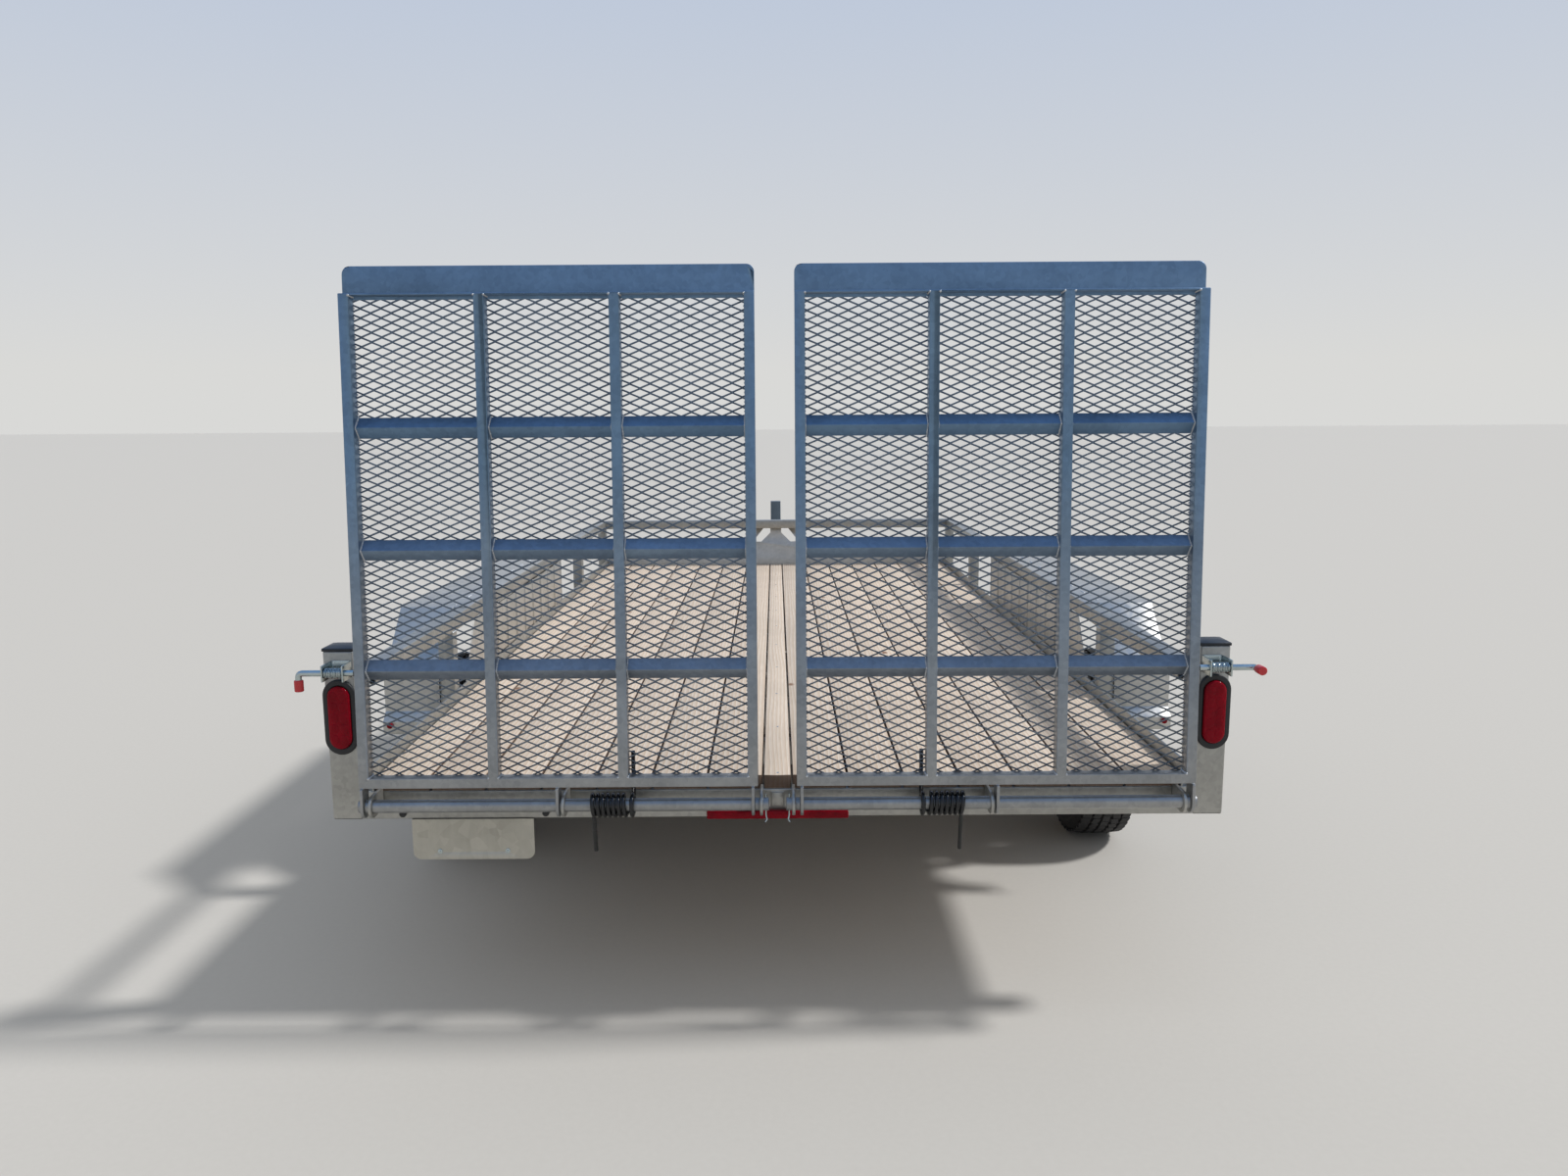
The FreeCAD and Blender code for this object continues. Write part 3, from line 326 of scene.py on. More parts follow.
def weld_row(name, seams, body):
    """Beads along seams, each given by its two ends."""
    chance = random.Random(len(seams))
    places = []
    for start, end in seams:
        start, end = Vector(start), Vector(end)
        along = (end - start).to_track_quat("X", "Z").to_matrix().to_4x4()
        count = max(2, int((end - start).length / bead_step))
        for number in range(count + 1):
            size = chance.uniform(0.85, 1.15)
            places.append(Matrix.Translation(start.lerp(end, number / count)) @ along @ Matrix.Scale(size, 4))
    return settle(scatter(bead_shape, name, places), body, weld_zinc_painted_highlight, 60.0)


# Rear posts, rails and rail posts: square tube, with thin-walled corners of about three millimetres radius.
dressed("rear_posts", dipped_zinc, 0.004, 3)
for node in ("side_rails", "front_rail", "rail_posts"):
    dressed(node, dipped_zinc, 0.003, 3)

rail_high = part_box("side_rails")[1]
post_low, post_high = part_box("rail_posts")
rail_wide = 0.050
rail_inner_x = rail_high[0] - rail_wide
rail_under = post_high[2]
rail_post_half = 0.025
weld_proud = 0.0005
post_foot_low, post_foot_high = post_low[2] + 0.006, deck_top + 0.030
rail_post_places = [deck_rear + from_deck_edge for from_deck_edge in (0.825, 2.690, 3.340, 4.242)]
seams = []
for side in (-1, 1):
    inside = side * (rail_inner_x - weld_proud)
    outside = side * (rail_high[0] + weld_proud)
    for along in rail_post_places:
        rear, front = along - rail_post_half, along + rail_post_half
        for edge in (rear - weld_proud, front + weld_proud):
            seams.append(((inside, edge, rail_under), (outside, edge, rail_under)))
            seams.append(((inside, edge, post_foot_low), (inside, edge, post_foot_high)))
        for face in (inside, outside):
            seams.append(((face, rear, rail_under), (face, front, rail_under)))
weld_row("rail_post_welds", seams, "chassis")


# Post caps: black polyethylene, moulded with a low pyramid top, pressed into the posts. Satin, fine grain.
def plain_finish(name, light, dark, rough, pore_mm, pore_depth, cloud_mm=60.0, extra=None):
    """A moulded or coated surface: two close tones in clouds, a fine relief and uneven gloss."""
    finish, tree, place = new_finish(name)
    cloud = noise(tree, place, cloud_mm, 5.0, 0.65)
    settings = {"Base Color": mix(tree, cloud, linear(dark), linear(light)),
                "Roughness": spread(tree, cloud, 0.0, 1.0, rough - 0.06, rough + 0.06),
                "Normal": bump(tree, noise(tree, place, pore_mm, 2.0), 0.3, pore_depth)}
    settings.update(extra or {})
    close_finish(tree, settings)
    return finish


cap_plastic = plain_finish("moulded_polyethylene", "#15202d", "#0b1119", 0.42, 1.6, 0.0002)
dressed("post_caps", cap_plastic, 0.002, 3)


# Front sheet: 3 mm galvanised steel, cut with a raised middle and two slanted slots, welded inside the rail.
# This zinc is lighter than that on thick steel: partly because sheet zinc is smoother, partly as painted
# light, the sun on the fender tops.
sheet_zinc = zinc_finish("galvanised_sheet", "#c6c4bf", "#a9a8a4", 0.36, 16.0, 0.08)
dressed("front_panel", sheet_zinc, 0.0006, 1)
panel_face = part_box("front_panel")[0][1]
stitches = [(middle, 0.025, deck_top - 0.002) for middle in (-0.93, -0.62, -0.31, 0.31, 0.62, 0.93)]
stitches += [(middle, 0.022, rail_under) for middle in (-0.122, 0.0, 0.122)]
seams = [((middle - half, panel_face, z), (middle + half, panel_face, z)) for middle, half, z in stitches]
weld_row("front_sheet_welds", seams, "chassis")


# Deck: softwood planks, new and pale, laid lengthwise with narrow gaps and screwed to every cross member.
# Each is sawn from its own log, so tone, grain and knots differ; arrises are planed off, ends are sawn.
def plank_finish():
    """Sawn softwood: long grain lines 14 mm apart, darker late wood, knots, and painted shade on the sides
    and ends.
    """
    finish, tree, place = new_finish("sawn_softwood")
    own = add_node(tree, "ShaderNodeAttribute", {"attribute_name": "plank_number"})
    shift = add_node(tree, "ShaderNodeCombineXYZ", None, {"X": own.outputs["Fac"], "Y": own.outputs["Fac"]})
    moved = add_node(tree, "ShaderNodeVectorMath", {"operation": "MULTIPLY_ADD"},
                     {0: shift.outputs["Vector"], 1: (7.3, 3.1, 0.0), 2: place}).outputs["Vector"]

    def stretched(scale):
        return add_node(tree, "ShaderNodeMapping", None, {"Vector": moved, "Scale": scale}).outputs["Vector"]

    long_grain = stretched((1.0, 0.07, 1.0))
    bend = add_node(tree, "ShaderNodeTexNoise", None,
                    {"Vector": long_grain, "Scale": per_metre(90.0), "Detail": 2.0})
    bent = add_node(tree, "ShaderNodeVectorMath", {"operation": "MULTIPLY_ADD"},
                    {0: bend.outputs["Color"], 1: (0.045, 0.0, 0.045), 2: long_grain}).outputs["Vector"]
    lines_apart_mm = 13.8175
    ring_scale = per_metre(lines_apart_mm) * math.pi / 10  # the wave texture repeats every pi / (10 * scale)
    rings = add_node(tree, "ShaderNodeTexWave",
                     {"wave_type": "BANDS", "bands_direction": "X", "wave_profile": "SAW"},
                     {"Vector": bent, "Scale": ring_scale, "Distortion": 1.6, "Detail": 2.0,
                      "Detail Scale": 1.5}).outputs["Fac"]
    fibres = noise(tree, stretched((1.0, 0.02, 1.0)), 1.6, 3.0)
    knots = add_node(tree, "ShaderNodeTexVoronoi", None,
                     {"Vector": stretched((1.0, 0.55, 0.0)), "Scale": per_metre(210.0)})
    knot = spread(tree, knots.outputs["Distance"], 0.03, 0.075, 1.0, 0.0)
    base = mix(tree, rings, linear("#f0e5da"), linear("#dbc6b1"))
    toned = mix(tree, 0.45, base, own.outputs["Color"], "MULTIPLY")
    grained = add_node(tree, "ShaderNodeVectorMath", {"operation": "SCALE"},
                       {0: toned, "Scale": spread(tree, fibres, 0.25, 0.75, 0.84, 1.06)})
    knotted = mix(tree, knot, grained.outputs["Vector"], linear("#8a6145"))
    dirt = spread(tree, noise(tree, place, 380.0, 6.0), 0.45, 0.75, 0.0, 0.30)
    weathered = mix(tree, dirt, knotted, linear("#b3a597"))
    # Painted shade: faces that do not face up, the plank sides in the gaps and the sawn ends, are darkened to
    # brown.
    facing = add_node(tree, "ShaderNodeSeparateXYZ", None,
                      {"Vector": add_node(tree, "ShaderNodeNewGeometry").outputs["Normal"]})
    flat = add_node(tree, "ShaderNodeMath", {"operation": "ABSOLUTE"}, {0: facing.outputs["Z"]})
    side = spread(tree, flat.outputs[0], 0.25, 0.75, 0.88, 0.0)
    close_finish(tree, {"Base Color": mix(tree, side, weathered, linear("#4f3524")), "Roughness": 0.72,
                        "Normal": bump(tree, times_plus(tree, rings, 0.4, fibres), 0.5, 0.0006)})
    return finish


plank_wide = 0.140
plank_thick = 0.038
plank_pitch = 0.145
centre_plank_half = 0.035
first_plank = centre_plank_half + (plank_pitch - plank_wide) + plank_wide / 2
plank_steps = [side * (first_plank + number * plank_pitch) for side in (-1, 1) for number in range(7)]
plank_middles = [0.0] + plank_steps
plank_cuts = 12
chance = random.Random(7)


def shape_plank(middle):
    """One plank, with planed arrises, a slightly cupped face and its own tone as an attribute."""
    wide = plank_wide if middle else 2 * centre_plank_half
    rear = deck_rear + chance.uniform(0.0, 0.002)
    plank = fresh(bpy.ops.mesh.primitive_cube_add, size=1.0,
                  location=(middle, (rear + deck_front) / 2, deck_top - plank_thick / 2))
    plank.scale = (wide, deck_front - rear, plank_thick)
    bpy.ops.object.transform_apply(location=True, rotation=True, scale=True)
    edit_all()
    bpy.ops.mesh.bisect(plane_co=(middle, 0, 0), plane_no=(1, 0, 0))
    for cut in range(1, plank_cuts):
        along = rear + (deck_front - rear) * cut / plank_cuts
        bpy.ops.mesh.select_all(action="SELECT")
        bpy.ops.mesh.bisect(plane_co=(0, along, 0), plane_no=(0, 1, 0))
    bpy.ops.object.mode_set(mode="OBJECT")
    cup = chance.uniform(-0.0012, 0.0)
    for corner in plank.data.vertices:
        if corner.co.z > deck_top - 0.002 and abs(corner.co.x - middle) < 0.001:
            corner.co.z += cup
    edge_round(plank, 0.0035, 2)
    tone = chance.uniform(0.78, 1.0)
    warm = chance.uniform(-0.05, 0.05)
    number_on = plank.data.attributes.new("plank_number", "FLOAT_COLOR", "POINT")
    for point in number_on.data:
        point.color = (tone, tone * (0.97 - warm / 2), tone * (0.92 - warm), 1.0)
    return plank


select_only(*[shape_plank(middle) for middle in plank_middles])
bpy.ops.object.join()
deck = bpy.context.object
deck.name = "deck_planks_sawn"
settle(deck, "chassis", plank_finish(), 30.0)
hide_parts("deck_planks")


# Deck screws: self-drilling, zinc-plated, their heads let in flush. Two hold each plank to every cross
# member, and one holds the narrow middle plank.
def plated_finish(name, light, dark, rough):
    """Thin electroplated zinc: bright, slightly cloudy, on a face that is not quite even."""
    finish, tree, place = new_finish(name)
    cloud = noise(tree, place, 35.0, 5.0)
    close_finish(tree, {"Base Color": mix(tree, cloud, linear(dark), linear(light)), "Metallic": 1.0,
                        "Roughness": spread(tree, cloud, 0.0, 1.0, rough - 0.06, rough + 0.08),
                        "Normal": bump(tree, noise(tree, place, 1.2, 2.0), 0.12, 0.0002)})
    return finish


bright_zinc = plated_finish("zinc_plated_steel", "#bfc9c9", "#9aa6a8", 0.24)


def shape_screw():
    """A flush head with its driver recess."""
    screw = fresh(bpy.ops.mesh.primitive_cylinder_add, vertices=12, radius=0.0055, depth=0.0016,
                  location=(0, 0, 0))
    for face in screw.data.polygons:
        face.select = face.normal.z > 0.9
    edit_marked("FACE")
    bpy.ops.mesh.inset(thickness=0.0028)
    bpy.ops.transform.translate(value=(0, 0, -0.0010))
    bpy.ops.object.mode_set(mode="OBJECT")
    return take_shape(screw)


beam_wide = 0.050
bay = (deck_front - deck_rear - 2 * beam_wide) / 10
screw_rows = [deck_rear + 0.022] + [deck_rear + beam_wide + bay * number for number in range(1, 10)]
screw_rows.append(deck_front - 0.030)
screw_sunk = 0.0007
screw_out = 0.042
screw_places = []
for along in screw_rows:
    for middle in plank_middles:
        for side in ((-screw_out, screw_out) if middle else (0.0,)):
            x = middle + side + chance.uniform(-0.004, 0.004)
            y = along + chance.uniform(-0.005, 0.005)
            screw_places.append(Matrix.Translation((x, y, deck_top - screw_sunk)))
settle(scatter(shape_screw(), "deck_screw_heads", screw_places), "chassis", bright_zinc, 40.0)


# Fenders and wheel walls: galvanised sheet, folded over both wheels and ribbed beside them, stitch-welded on.
dressed("fenders", sheet_zinc, 0.0012, 2)
dressed("wheel_walls", sheet_zinc, 0.002, 3)
fender_low, fender_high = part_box("fenders")
fender_middle = (fender_low[1] + fender_high[1]) / 2
stitch_half = 0.02
stitch_pitch = 0.170
stitch_out = 0.0062
stitch_z = fender_high[2]
seams = []
for side in (-1, 1):
    line = side * (rail_high[0] + stitch_out)
    for number in range(9):
        along = fender_middle + (number - 4) * stitch_pitch
        seams.append(((line, along - stitch_half, stitch_z), (line, along + stitch_half, stitch_z)))
weld_row("fender_welds", seams, "chassis")


# Tail lamps: a red acrylic lens moulded in ten cells, one before each light-emitting diode, in a thick
# oval rubber grommet pushed into a hole in the post.
rubber = plain_finish("moulded_rubber", "#1d2024", "#101215", 0.48, 0.9, 0.0002)
dressed("tail_lamp_grommets", rubber, 0.003, 3)
dressed("rubber_plugs", rubber, 0.001, 2)


def lens_finish(name, light, dark):
    """Coloured acrylic: deep colour with the faint grid of the moulded optics, 5 mm apart."""
    finish, tree, place = new_finish(name)
    optics = add_node(tree, "ShaderNodeTexVoronoi", {"distance": "CHEBYCHEV"},
                      {"Vector": place, "Scale": per_metre(5.0), "Randomness": 0.0}).outputs["Distance"]
    level = times_plus(tree, optics, 0.5, noise(tree, place, 40.0, 2.0))
    close_finish(tree, {"Base Color": mix(tree, level, linear(light), linear(dark)), "Roughness": 0.12,
                        "Normal": bump(tree, optics, 0.25, 0.0005), "IOR": 1.49, "Specular IOR Level": 0.10})
    return finish


red_lens = lens_finish("red_acrylic", "#a30b22", "#6f0716")
amber_lens = lens_finish("amber_acrylic", "#d8811c", "#9a520b")
dressed("tail_lamp_lenses", red_lens, 0.005, 4)
dressed("rear_markers", red_lens, 0.002, 3)
dressed("rear_light_bar", red_lens, 0.003, 3)
dressed("front_markers", amber_lens, 0.002, 3)


# The diodes' cells are low pillows that stand a little out of the lens
lens_low, lens_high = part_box("tail_lamp_lenses")
lens_wide = 0.057
lens_middle = (lens_low[2] + lens_high[2]) / 2
cell_out = 0.0125
cell_pitch = 0.0285
cell_deep = 0.003
cells = []
for side in (-1, 1):
    for column in (-1, 1):
        x = side * (lens_high[0] - lens_wide / 2) + column * cell_out
        for row in range(5):
            cells.append(Matrix.Translation((x, lens_low[1], lens_middle + (row - 2) * cell_pitch)))
lamp_cells = scatter(shape_ball(0.023, cell_deep, 0.026, 16, 8), "tail_lamp_cells", cells)
settle(lamp_cells, "chassis", red_lens, 60.0)
bar_low, bar_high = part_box("rear_light_bar")
bar_middle = (bar_low[2] + bar_high[2]) / 2
bar_cell_pitch = 0.032
cells = [Matrix.Translation(((number - 5) * bar_cell_pitch, bar_low[1], bar_middle)) for number in range(11)]
bar_cells = scatter(shape_ball(0.027, cell_deep, 0.014, 16, 8), "light_bar_cells", cells)
settle(bar_cells, "chassis", red_lens, 60.0)


# Plate bracket: thin bright sheet bent under the crossmember, left bare, with its two bolts and nuts.
bracket_sheet = zinc_finish("bright_sheet", "#bdbab0", "#9d9a90", 0.40, 30.0, 0.2)
dressed("plate_bracket", bracket_sheet, 0.0005, 1)


def shape_nut(radius, thick, stud, past):
    """A hexagon nut with chamfered corners and the stud's end standing out, its axis along Z."""
    nut = fresh(bpy.ops.mesh.primitive_cylinder_add, vertices=6, radius=radius, depth=thick,
                location=(0, 0, thick / 2))
    for face in nut.data.polygons:
        face.select = abs(face.normal.z) > 0.9
    edit_marked("FACE")
    bpy.ops.mesh.bevel(offset=thick * 0.10, segments=2, affect="EDGES")
    bpy.ops.object.mode_set(mode="OBJECT")
    long = thick + past
    end = fresh(bpy.ops.mesh.primitive_cylinder_add, vertices=12, radius=stud, depth=long,
                location=(0, 0, long / 2))
    edge_round(end, stud * 0.25, 1)
    select_only(end, nut)
    bpy.ops.object.join()
    return take_shape(nut)


bracket_low, bracket_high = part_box("plate_bracket")
bracket_middle = (bracket_low[0] + bracket_high[0]) / 2
facing_back = Matrix.Rotation(math.radians(90.0), 4, "X")
plate_bolt_half = 0.089
bolt_y, bolt_z = bracket_low[1] + 0.0003, bracket_low[2] + 0.023
bolt_places = [Matrix.Translation((bracket_middle + side * plate_bolt_half, bolt_y, bolt_z)) @ facing_back
               for side in (-1, 1)]
bolt_shape = shape_nut(0.0072, 0.0040, 0.0028, 0.002)
settle(scatter(bolt_shape, "plate_bolts", bolt_places), "chassis", bright_zinc)


# Hinges: flame-cut lugs welded to the crossmember and to the gates and dipped with them.
dressed("hinge_ears", dipped_zinc, 0.002, 3)


# Ramp gates: rectangular tube, three cross angles, a folded toe plate and a hinge pipe, welded and dipped.
# The gates get the largest share of painted sky reflection, the last number.
gate_zinc = zinc_finish("hot_dip_zinc_on_gates", "#a1a2a2", "#828485", 0.34, 11.0, 0.10, 0.95)
for side in ("right", "left"):
    dressed("gate_frame_" + side, gate_zinc, 0.0022, 3, flatten=False)

lean = math.radians(3.0)
gate_inner = 0.049
gate_outer = 1.061
bar_wide = 0.0254
gate_front = 0.0173
bar_deep = 0.038
angle_leg = 0.038
gate_rear = gate_front - bar_deep
gate_bottom = 0.051
gate_top = 1.282
flange = 0.0048
angle_reach = angle_leg / math.sqrt(2)
cross_heights = (0.350, 0.654, 0.958)
upright_places = [gate_inner + number * (gate_outer - gate_inner - bar_wide) / 3 for number in range(4)]
gate_turn = Matrix.Translation(hinge) @ Matrix.Rotation(-lean, 4, "X")


def gate_seams():
    """Where the gate's members meet: the uprights' feet and heads and the ends of each cross angle."""
    low, high = gate_bottom + bar_wide, gate_top - flange
    front, rear, corner = gate_front, gate_rear, gate_front - angle_reach
    found = []
    for number, place in enumerate(upright_places):
        sides = []
        if number > 0:
            sides.append(place)
        if number < len(upright_places) - 1:
            sides.append(place + bar_wide)
        for x in sides:
            for w in (low, high):
                found.append(((x, rear, w), (x, front, w)))
            for w in cross_heights:
                found.append(((x, front, w + angle_reach), (x, corner, w)))
                found.append(((x, corner, w), (x, front, w - angle_reach)))
    return found


for side, sign in (("right", 1), ("left", -1)):
    turned_seams = []
    for start, end in gate_seams():
        both_ends = [gate_turn @ Vector(point) for point in (start, end)]
        turned_seams.append([(sign * point.x, point.y, point.z) for point in both_ends])
    weld_row("gate_welds_" + side, turned_seams, "gate_" + side)


# Gate mesh: raised expanded steel, slit and stretched from one sheet, so each strand leans and meets the
# next in a knuckle. Diamonds are 51 mm by 23 mm. One diamond is shaped, repeated and leaned with the gate.
# The last number is the share of painted sky reflection.
mesh_zinc = zinc_finish("zinc_on_mesh", "#7d8791", "#59636f", 0.38, 8.0, 0.1, 0.35)
strand_tall = 0.0048
strand_thick = 0.0026
knuckle_step = 0.0014
mesh_thick = 0.0034
long_way = 0.0508
short_way = 0.0234
mesh_columns = 20
mesh_rows = 52
mesh_lap = bar_wide / 4


def shape_diamond():
    """Four leaning half strands around one opening, of rolled sheet with slightly rounded edges."""
    tilt = math.radians(28.0)
    half_long, half_short = long_way / 2, short_way / 2
    slope = math.atan2(half_short - knuckle_step, half_long)
    length = math.hypot(half_long, half_short - knuckle_step) + 0.0012
    legs = []
    for row in range(2):
        for step in range(2):
            way = 1 if (row + step) % 2 == 0 else -1
            leg = fresh(bpy.ops.mesh.primitive_cylinder_add, vertices=8, radius=0.5, depth=1.0,
                        end_fill_type="NOTHING", rotation=(0, math.radians(90.0), 0))
            bpy.ops.object.transform_apply(rotation=True)
            edit_all()
            bpy.ops.transform.rotate(value=math.radians(22.5), orient_axis="X", center_override=(0, 0, 0))
            bpy.ops.transform.resize(value=(length, strand_thick, strand_tall), center_override=(0, 0, 0))
            bpy.ops.object.mode_set(mode="OBJECT")
            leg.rotation_euler = (tilt, 0, 0)
            bpy.ops.object.transform_apply(rotation=True)
            leg.rotation_euler = (0, -slope * way, 0)
            leg.location = (half_long * (step + 0.5), 0.0, half_short * (row + 0.5))
            bpy.ops.object.transform_apply(location=True, rotation=True)
            legs.append(leg)
    select_only(*legs)
    bpy.ops.object.join()
    return bpy.context.object


# Tack welds where the mesh meets the uprights, in the same near-white zinc: painted highlights of small
# glints.
tack_y = gate_front - 0.001
tacks = []
for number in range(1, mesh_rows):
    up = gate_bottom + mesh_lap + number * short_way
    for x in (gate_inner + bar_wide, gate_outer - bar_wide):
        tacks.append(gate_turn @ Vector((x, tack_y, up)))
for side, sign in (("right", 1), ("left", -1)):
    dots = [Matrix.Translation((sign * tack.x, tack.y, tack.z)) for tack in tacks]
    dotted = scatter(bead_shape, "mesh_tacks_" + side, dots)
    settle(dotted, "gate_" + side, weld_zinc_painted_highlight, 60.0)
diamond = shape_diamond()
diamond.name = "gate_mesh_strands_right"
for axis, count, step in ((0, mesh_columns, long_way), (2, mesh_rows, short_way)):
    repeat = diamond.modifiers.new("repeat", "ARRAY")
    repeat.count = count
    repeat.use_relative_offset = False
    repeat.use_constant_offset = True
    repeat.constant_offset_displace = tuple(step if axis == place else 0.0 for place in range(3))
    select_only(diamond)
    bpy.ops.object.modifier_apply(modifier=repeat.name)
diamond.location = (gate_inner + mesh_lap, gate_front + mesh_thick / 2, gate_bottom + mesh_lap)
bpy.ops.object.transform_apply(location=True)
diamond.matrix_world = gate_turn
settle(diamond, "gate_right", mesh_zinc, 50.0)
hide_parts("gate_mesh_right")


def mirror_copy(piece, name):
    """The same piece on the left, with its faces turned the right way again."""
    other = bpy.data.objects.new(name, piece.data.copy())
    bpy.context.scene.collection.objects.link(other)
    other.scale = (-1.0, 1.0, 1.0)
    select_only(other)
    bpy.ops.object.transform_apply(scale=True)
    edit_all()
    bpy.ops.mesh.flip_normals()
    bpy.ops.object.mode_set(mode="OBJECT")
    return other


settle(mirror_copy(diamond, "gate_mesh_strands_left"), "gate_left", mesh_zinc, 50.0)
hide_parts("gate_mesh_left")


# Lift springs: 11 mm wire wound on the hinge pipe, black coated, with one leg hanging below the crossmember
# and an arm that holds the gate up. They take most of the gate's weight when it is lowered.
spring_coat = plain_finish("black_powder_coat", "#121317", "#08090b", 0.26, 1.2, 0.0002)
for side in ("right", "left"):
    dressed("gate_spring_arm_" + side, spring_coat, 0.0)


def bar_along(name, points, radius, sides=10):
    """A round bar bent to follow these points, its ends closed."""
    bar = fresh(bpy.ops.curve.primitive_nurbs_path_add, location=(0, 0, 0))
    bar.name = name
    line = bar.data
    line.splines.clear()
    run = line.splines.new("POLY")
    run.points.add(len(points) - 1)
    for point, where in zip(run.points, points):
        point.co = (*where, 1.0)
    line.bevel_depth = radius
    line.bevel_resolution = max(0, sides // 2 - 2)
    line.use_fill_caps = True
    bpy.ops.object.convert(target="MESH")
    edit_all()
    bpy.ops.mesh.remove_doubles(threshold=0.00001)
    bpy.ops.mesh.normals_make_consistent(inside=False)
    bpy.ops.object.mode_set(mode="OBJECT")
    return bpy.context.object


def bent(corners, radius, steps=6):
    """A line through these corners, each one rounded by this radius."""
    corners = [Vector(corner) for corner in corners]
    line = [corners[0]]
    for before, corner, after in zip(corners, corners[1:], corners[2:]):
        start = corner + (before - corner).normalized() * radius
        end = corner + (after - corner).normalized() * radius
        for step in range(steps + 1):
            share = step / steps
            line.append(start.lerp(corner, share).lerp(corner.lerp(end, share), share))
    return line + [corners[-1]]


coil_radius = 0.0265
coil_wire = 0.0055
coil_pitch = 0.0132
coil_from_middle = 0.370
coil_start = coil_from_middle + coil_pitch
coil_gaps = 7
leg_low, leg_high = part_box("lift_springs")
coil_steps = 24
coil_end = coil_start + coil_gaps * coil_pitch
helix = []
for step in range(coil_gaps * coil_steps + 1):
    turn = 2 * math.pi * step / coil_steps
    helix.append((coil_start + coil_pitch * step / coil_steps, hinge.y + coil_radius * math.cos(turn),
                  hinge.z + coil_radius * math.sin(-turn)))
leg_lean = 0.25
leg_ahead = leg_lean * (leg_high[1] - hinge.y - coil_radius)
leg_end_z = leg_low[2] + 0.020
helix.append((coil_end, hinge.y + coil_radius + leg_ahead, leg_end_z))
right_spring = bar_along("lift_spring_right", helix, coil_wire, 10)
left_spring = mirror_copy(right_spring, "lift_spring_left")
select_only(left_spring, right_spring)
bpy.ops.object.join()
springs = bpy.context.object
springs.name = "lift_springs_wound"
settle(springs, "chassis", spring_coat, 50.0)
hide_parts("lift_springs")


# Hinge pins: a bent clip through the inner end of each hinge pipe keeps it from sliding out. Its tail leans
# away from the chassis's ear, which it passes as the gate turns.
clip_x = 0.030
clip_half = 0.026
clip_line = [(clip_x, hinge.y, hinge.z + clip_half), (clip_x, hinge.y, hinge.z - clip_half),
             (clip_x - 0.003, hinge.y - 0.004, hinge.z - 0.040),
             (clip_x + 0.002, hinge.y - 0.006, hinge.z - 0.046)]
clip = bar_along("hinge_clip_right", bent(clip_line, 0.004), 0.0022, 8)
other_clip = mirror_copy(clip, "hinge_clip_left")
settle(clip, "gate_right", bright_zinc, 50.0)
settle(other_clip, "gate_left", bright_zinc, 50.0)


# Gate latches: on each post a bracket bent from plate, a rod through its two cheeks with a spring between
# them, all zinc plated, and a grip of red dipped vinyl. The right handle points back, the left one down.
post_wide = 0.076
post_inner_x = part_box("rear_posts")[1][0] - post_wide
post_outer_x = post_inner_x + post_wide
latch_above_deck = 0.291
latch_z = deck_top + latch_above_deck
latch_y = hinge.y + (latch_z - hinge.z) * math.tan(lean) + (gate_front + gate_rear) / 2
rod_radius = 0.008
rod_past_post = 0.050
rod_end = post_outer_x + rod_past_post - rod_radius
cheek_past_rod = 0.014
handle = 0.009
bracket_wide = 0.056
bracket_tall = 0.042


def shape_bracket():
    """Plate bent to a U: its back on the post, its cheeks out to the rod."""
    depth = deck_rear - (latch_y - cheek_past_rod)
    bracket = fresh(bpy.ops.mesh.primitive_cube_add, size=1.0,
                    location=(post_inner_x + bracket_wide / 2, deck_rear - depth / 2, latch_z))
    bracket.name = "latch_bracket_right"
    bracket.scale = (bracket_wide, depth, bracket_tall)
    bpy.ops.object.transform_apply(location=True, rotation=True, scale=True)
    for face in bracket.data.polygons:
        face.select = abs(face.normal.z) > 0.9 or face.normal.y < -0.9
    edit_marked("FACE")
    bpy.ops.mesh.delete(type="FACE")
    bpy.ops.mesh.select_all(action="SELECT")
    bpy.ops.object.mode_set(mode="OBJECT")
    for edge in bracket.data.edges:
        ends = [bracket.data.vertices[corner].co for corner in edge.vertices]
        on_back = all(abs(end.y - deck_rear) < 0.0001 for end in ends)
        edge.select = on_back and abs(ends[0].z - ends[1].z) > 0.01
    edit_marked("EDGE")
    bpy.ops.mesh.bevel(offset=0.010, segments=4, affect="EDGES")
    bpy.ops.object.mode_set(mode="OBJECT")
    plate = bracket.modifiers.new("plate", "SOLIDIFY")
    plate.thickness = 0.004
    plate.offset = -1.0
    bpy.ops.object.modifier_apply(modifier=plate.name)
    edge_round(bracket, 0.0008, 2, 40.0)
    return bracket


def latch_spring():
    """Eleven turns of thin wire round the rod, between the cheeks."""
    start, end = post_inner_x + 0.006, post_inner_x + bracket_wide - 0.006
    radius = 0.0125
    steps_a_turn = 14
    steps = 11 * steps_a_turn
    line = []
    for step in range(steps + 1):
        turn = 2 * math.pi * step / steps_a_turn
        line.append((start + (end - start) * step / steps, latch_y + radius * math.cos(turn),
                     latch_z + radius * math.sin(turn)))
    return bar_along("latch_spring_right", line, 0.0015, 6)


def latch_rod(name, way):
    """The rod from beside the gate to its handle, bent cold."""
    corner = Vector((rod_end, latch_y, latch_z))
    start = (gate_outer + 0.006, latch_y, latch_z)
    end = corner + Vector(way) * (handle + rod_radius)
    return bar_along(name, bent([start, corner, end], 0.012), rod_radius, 14)


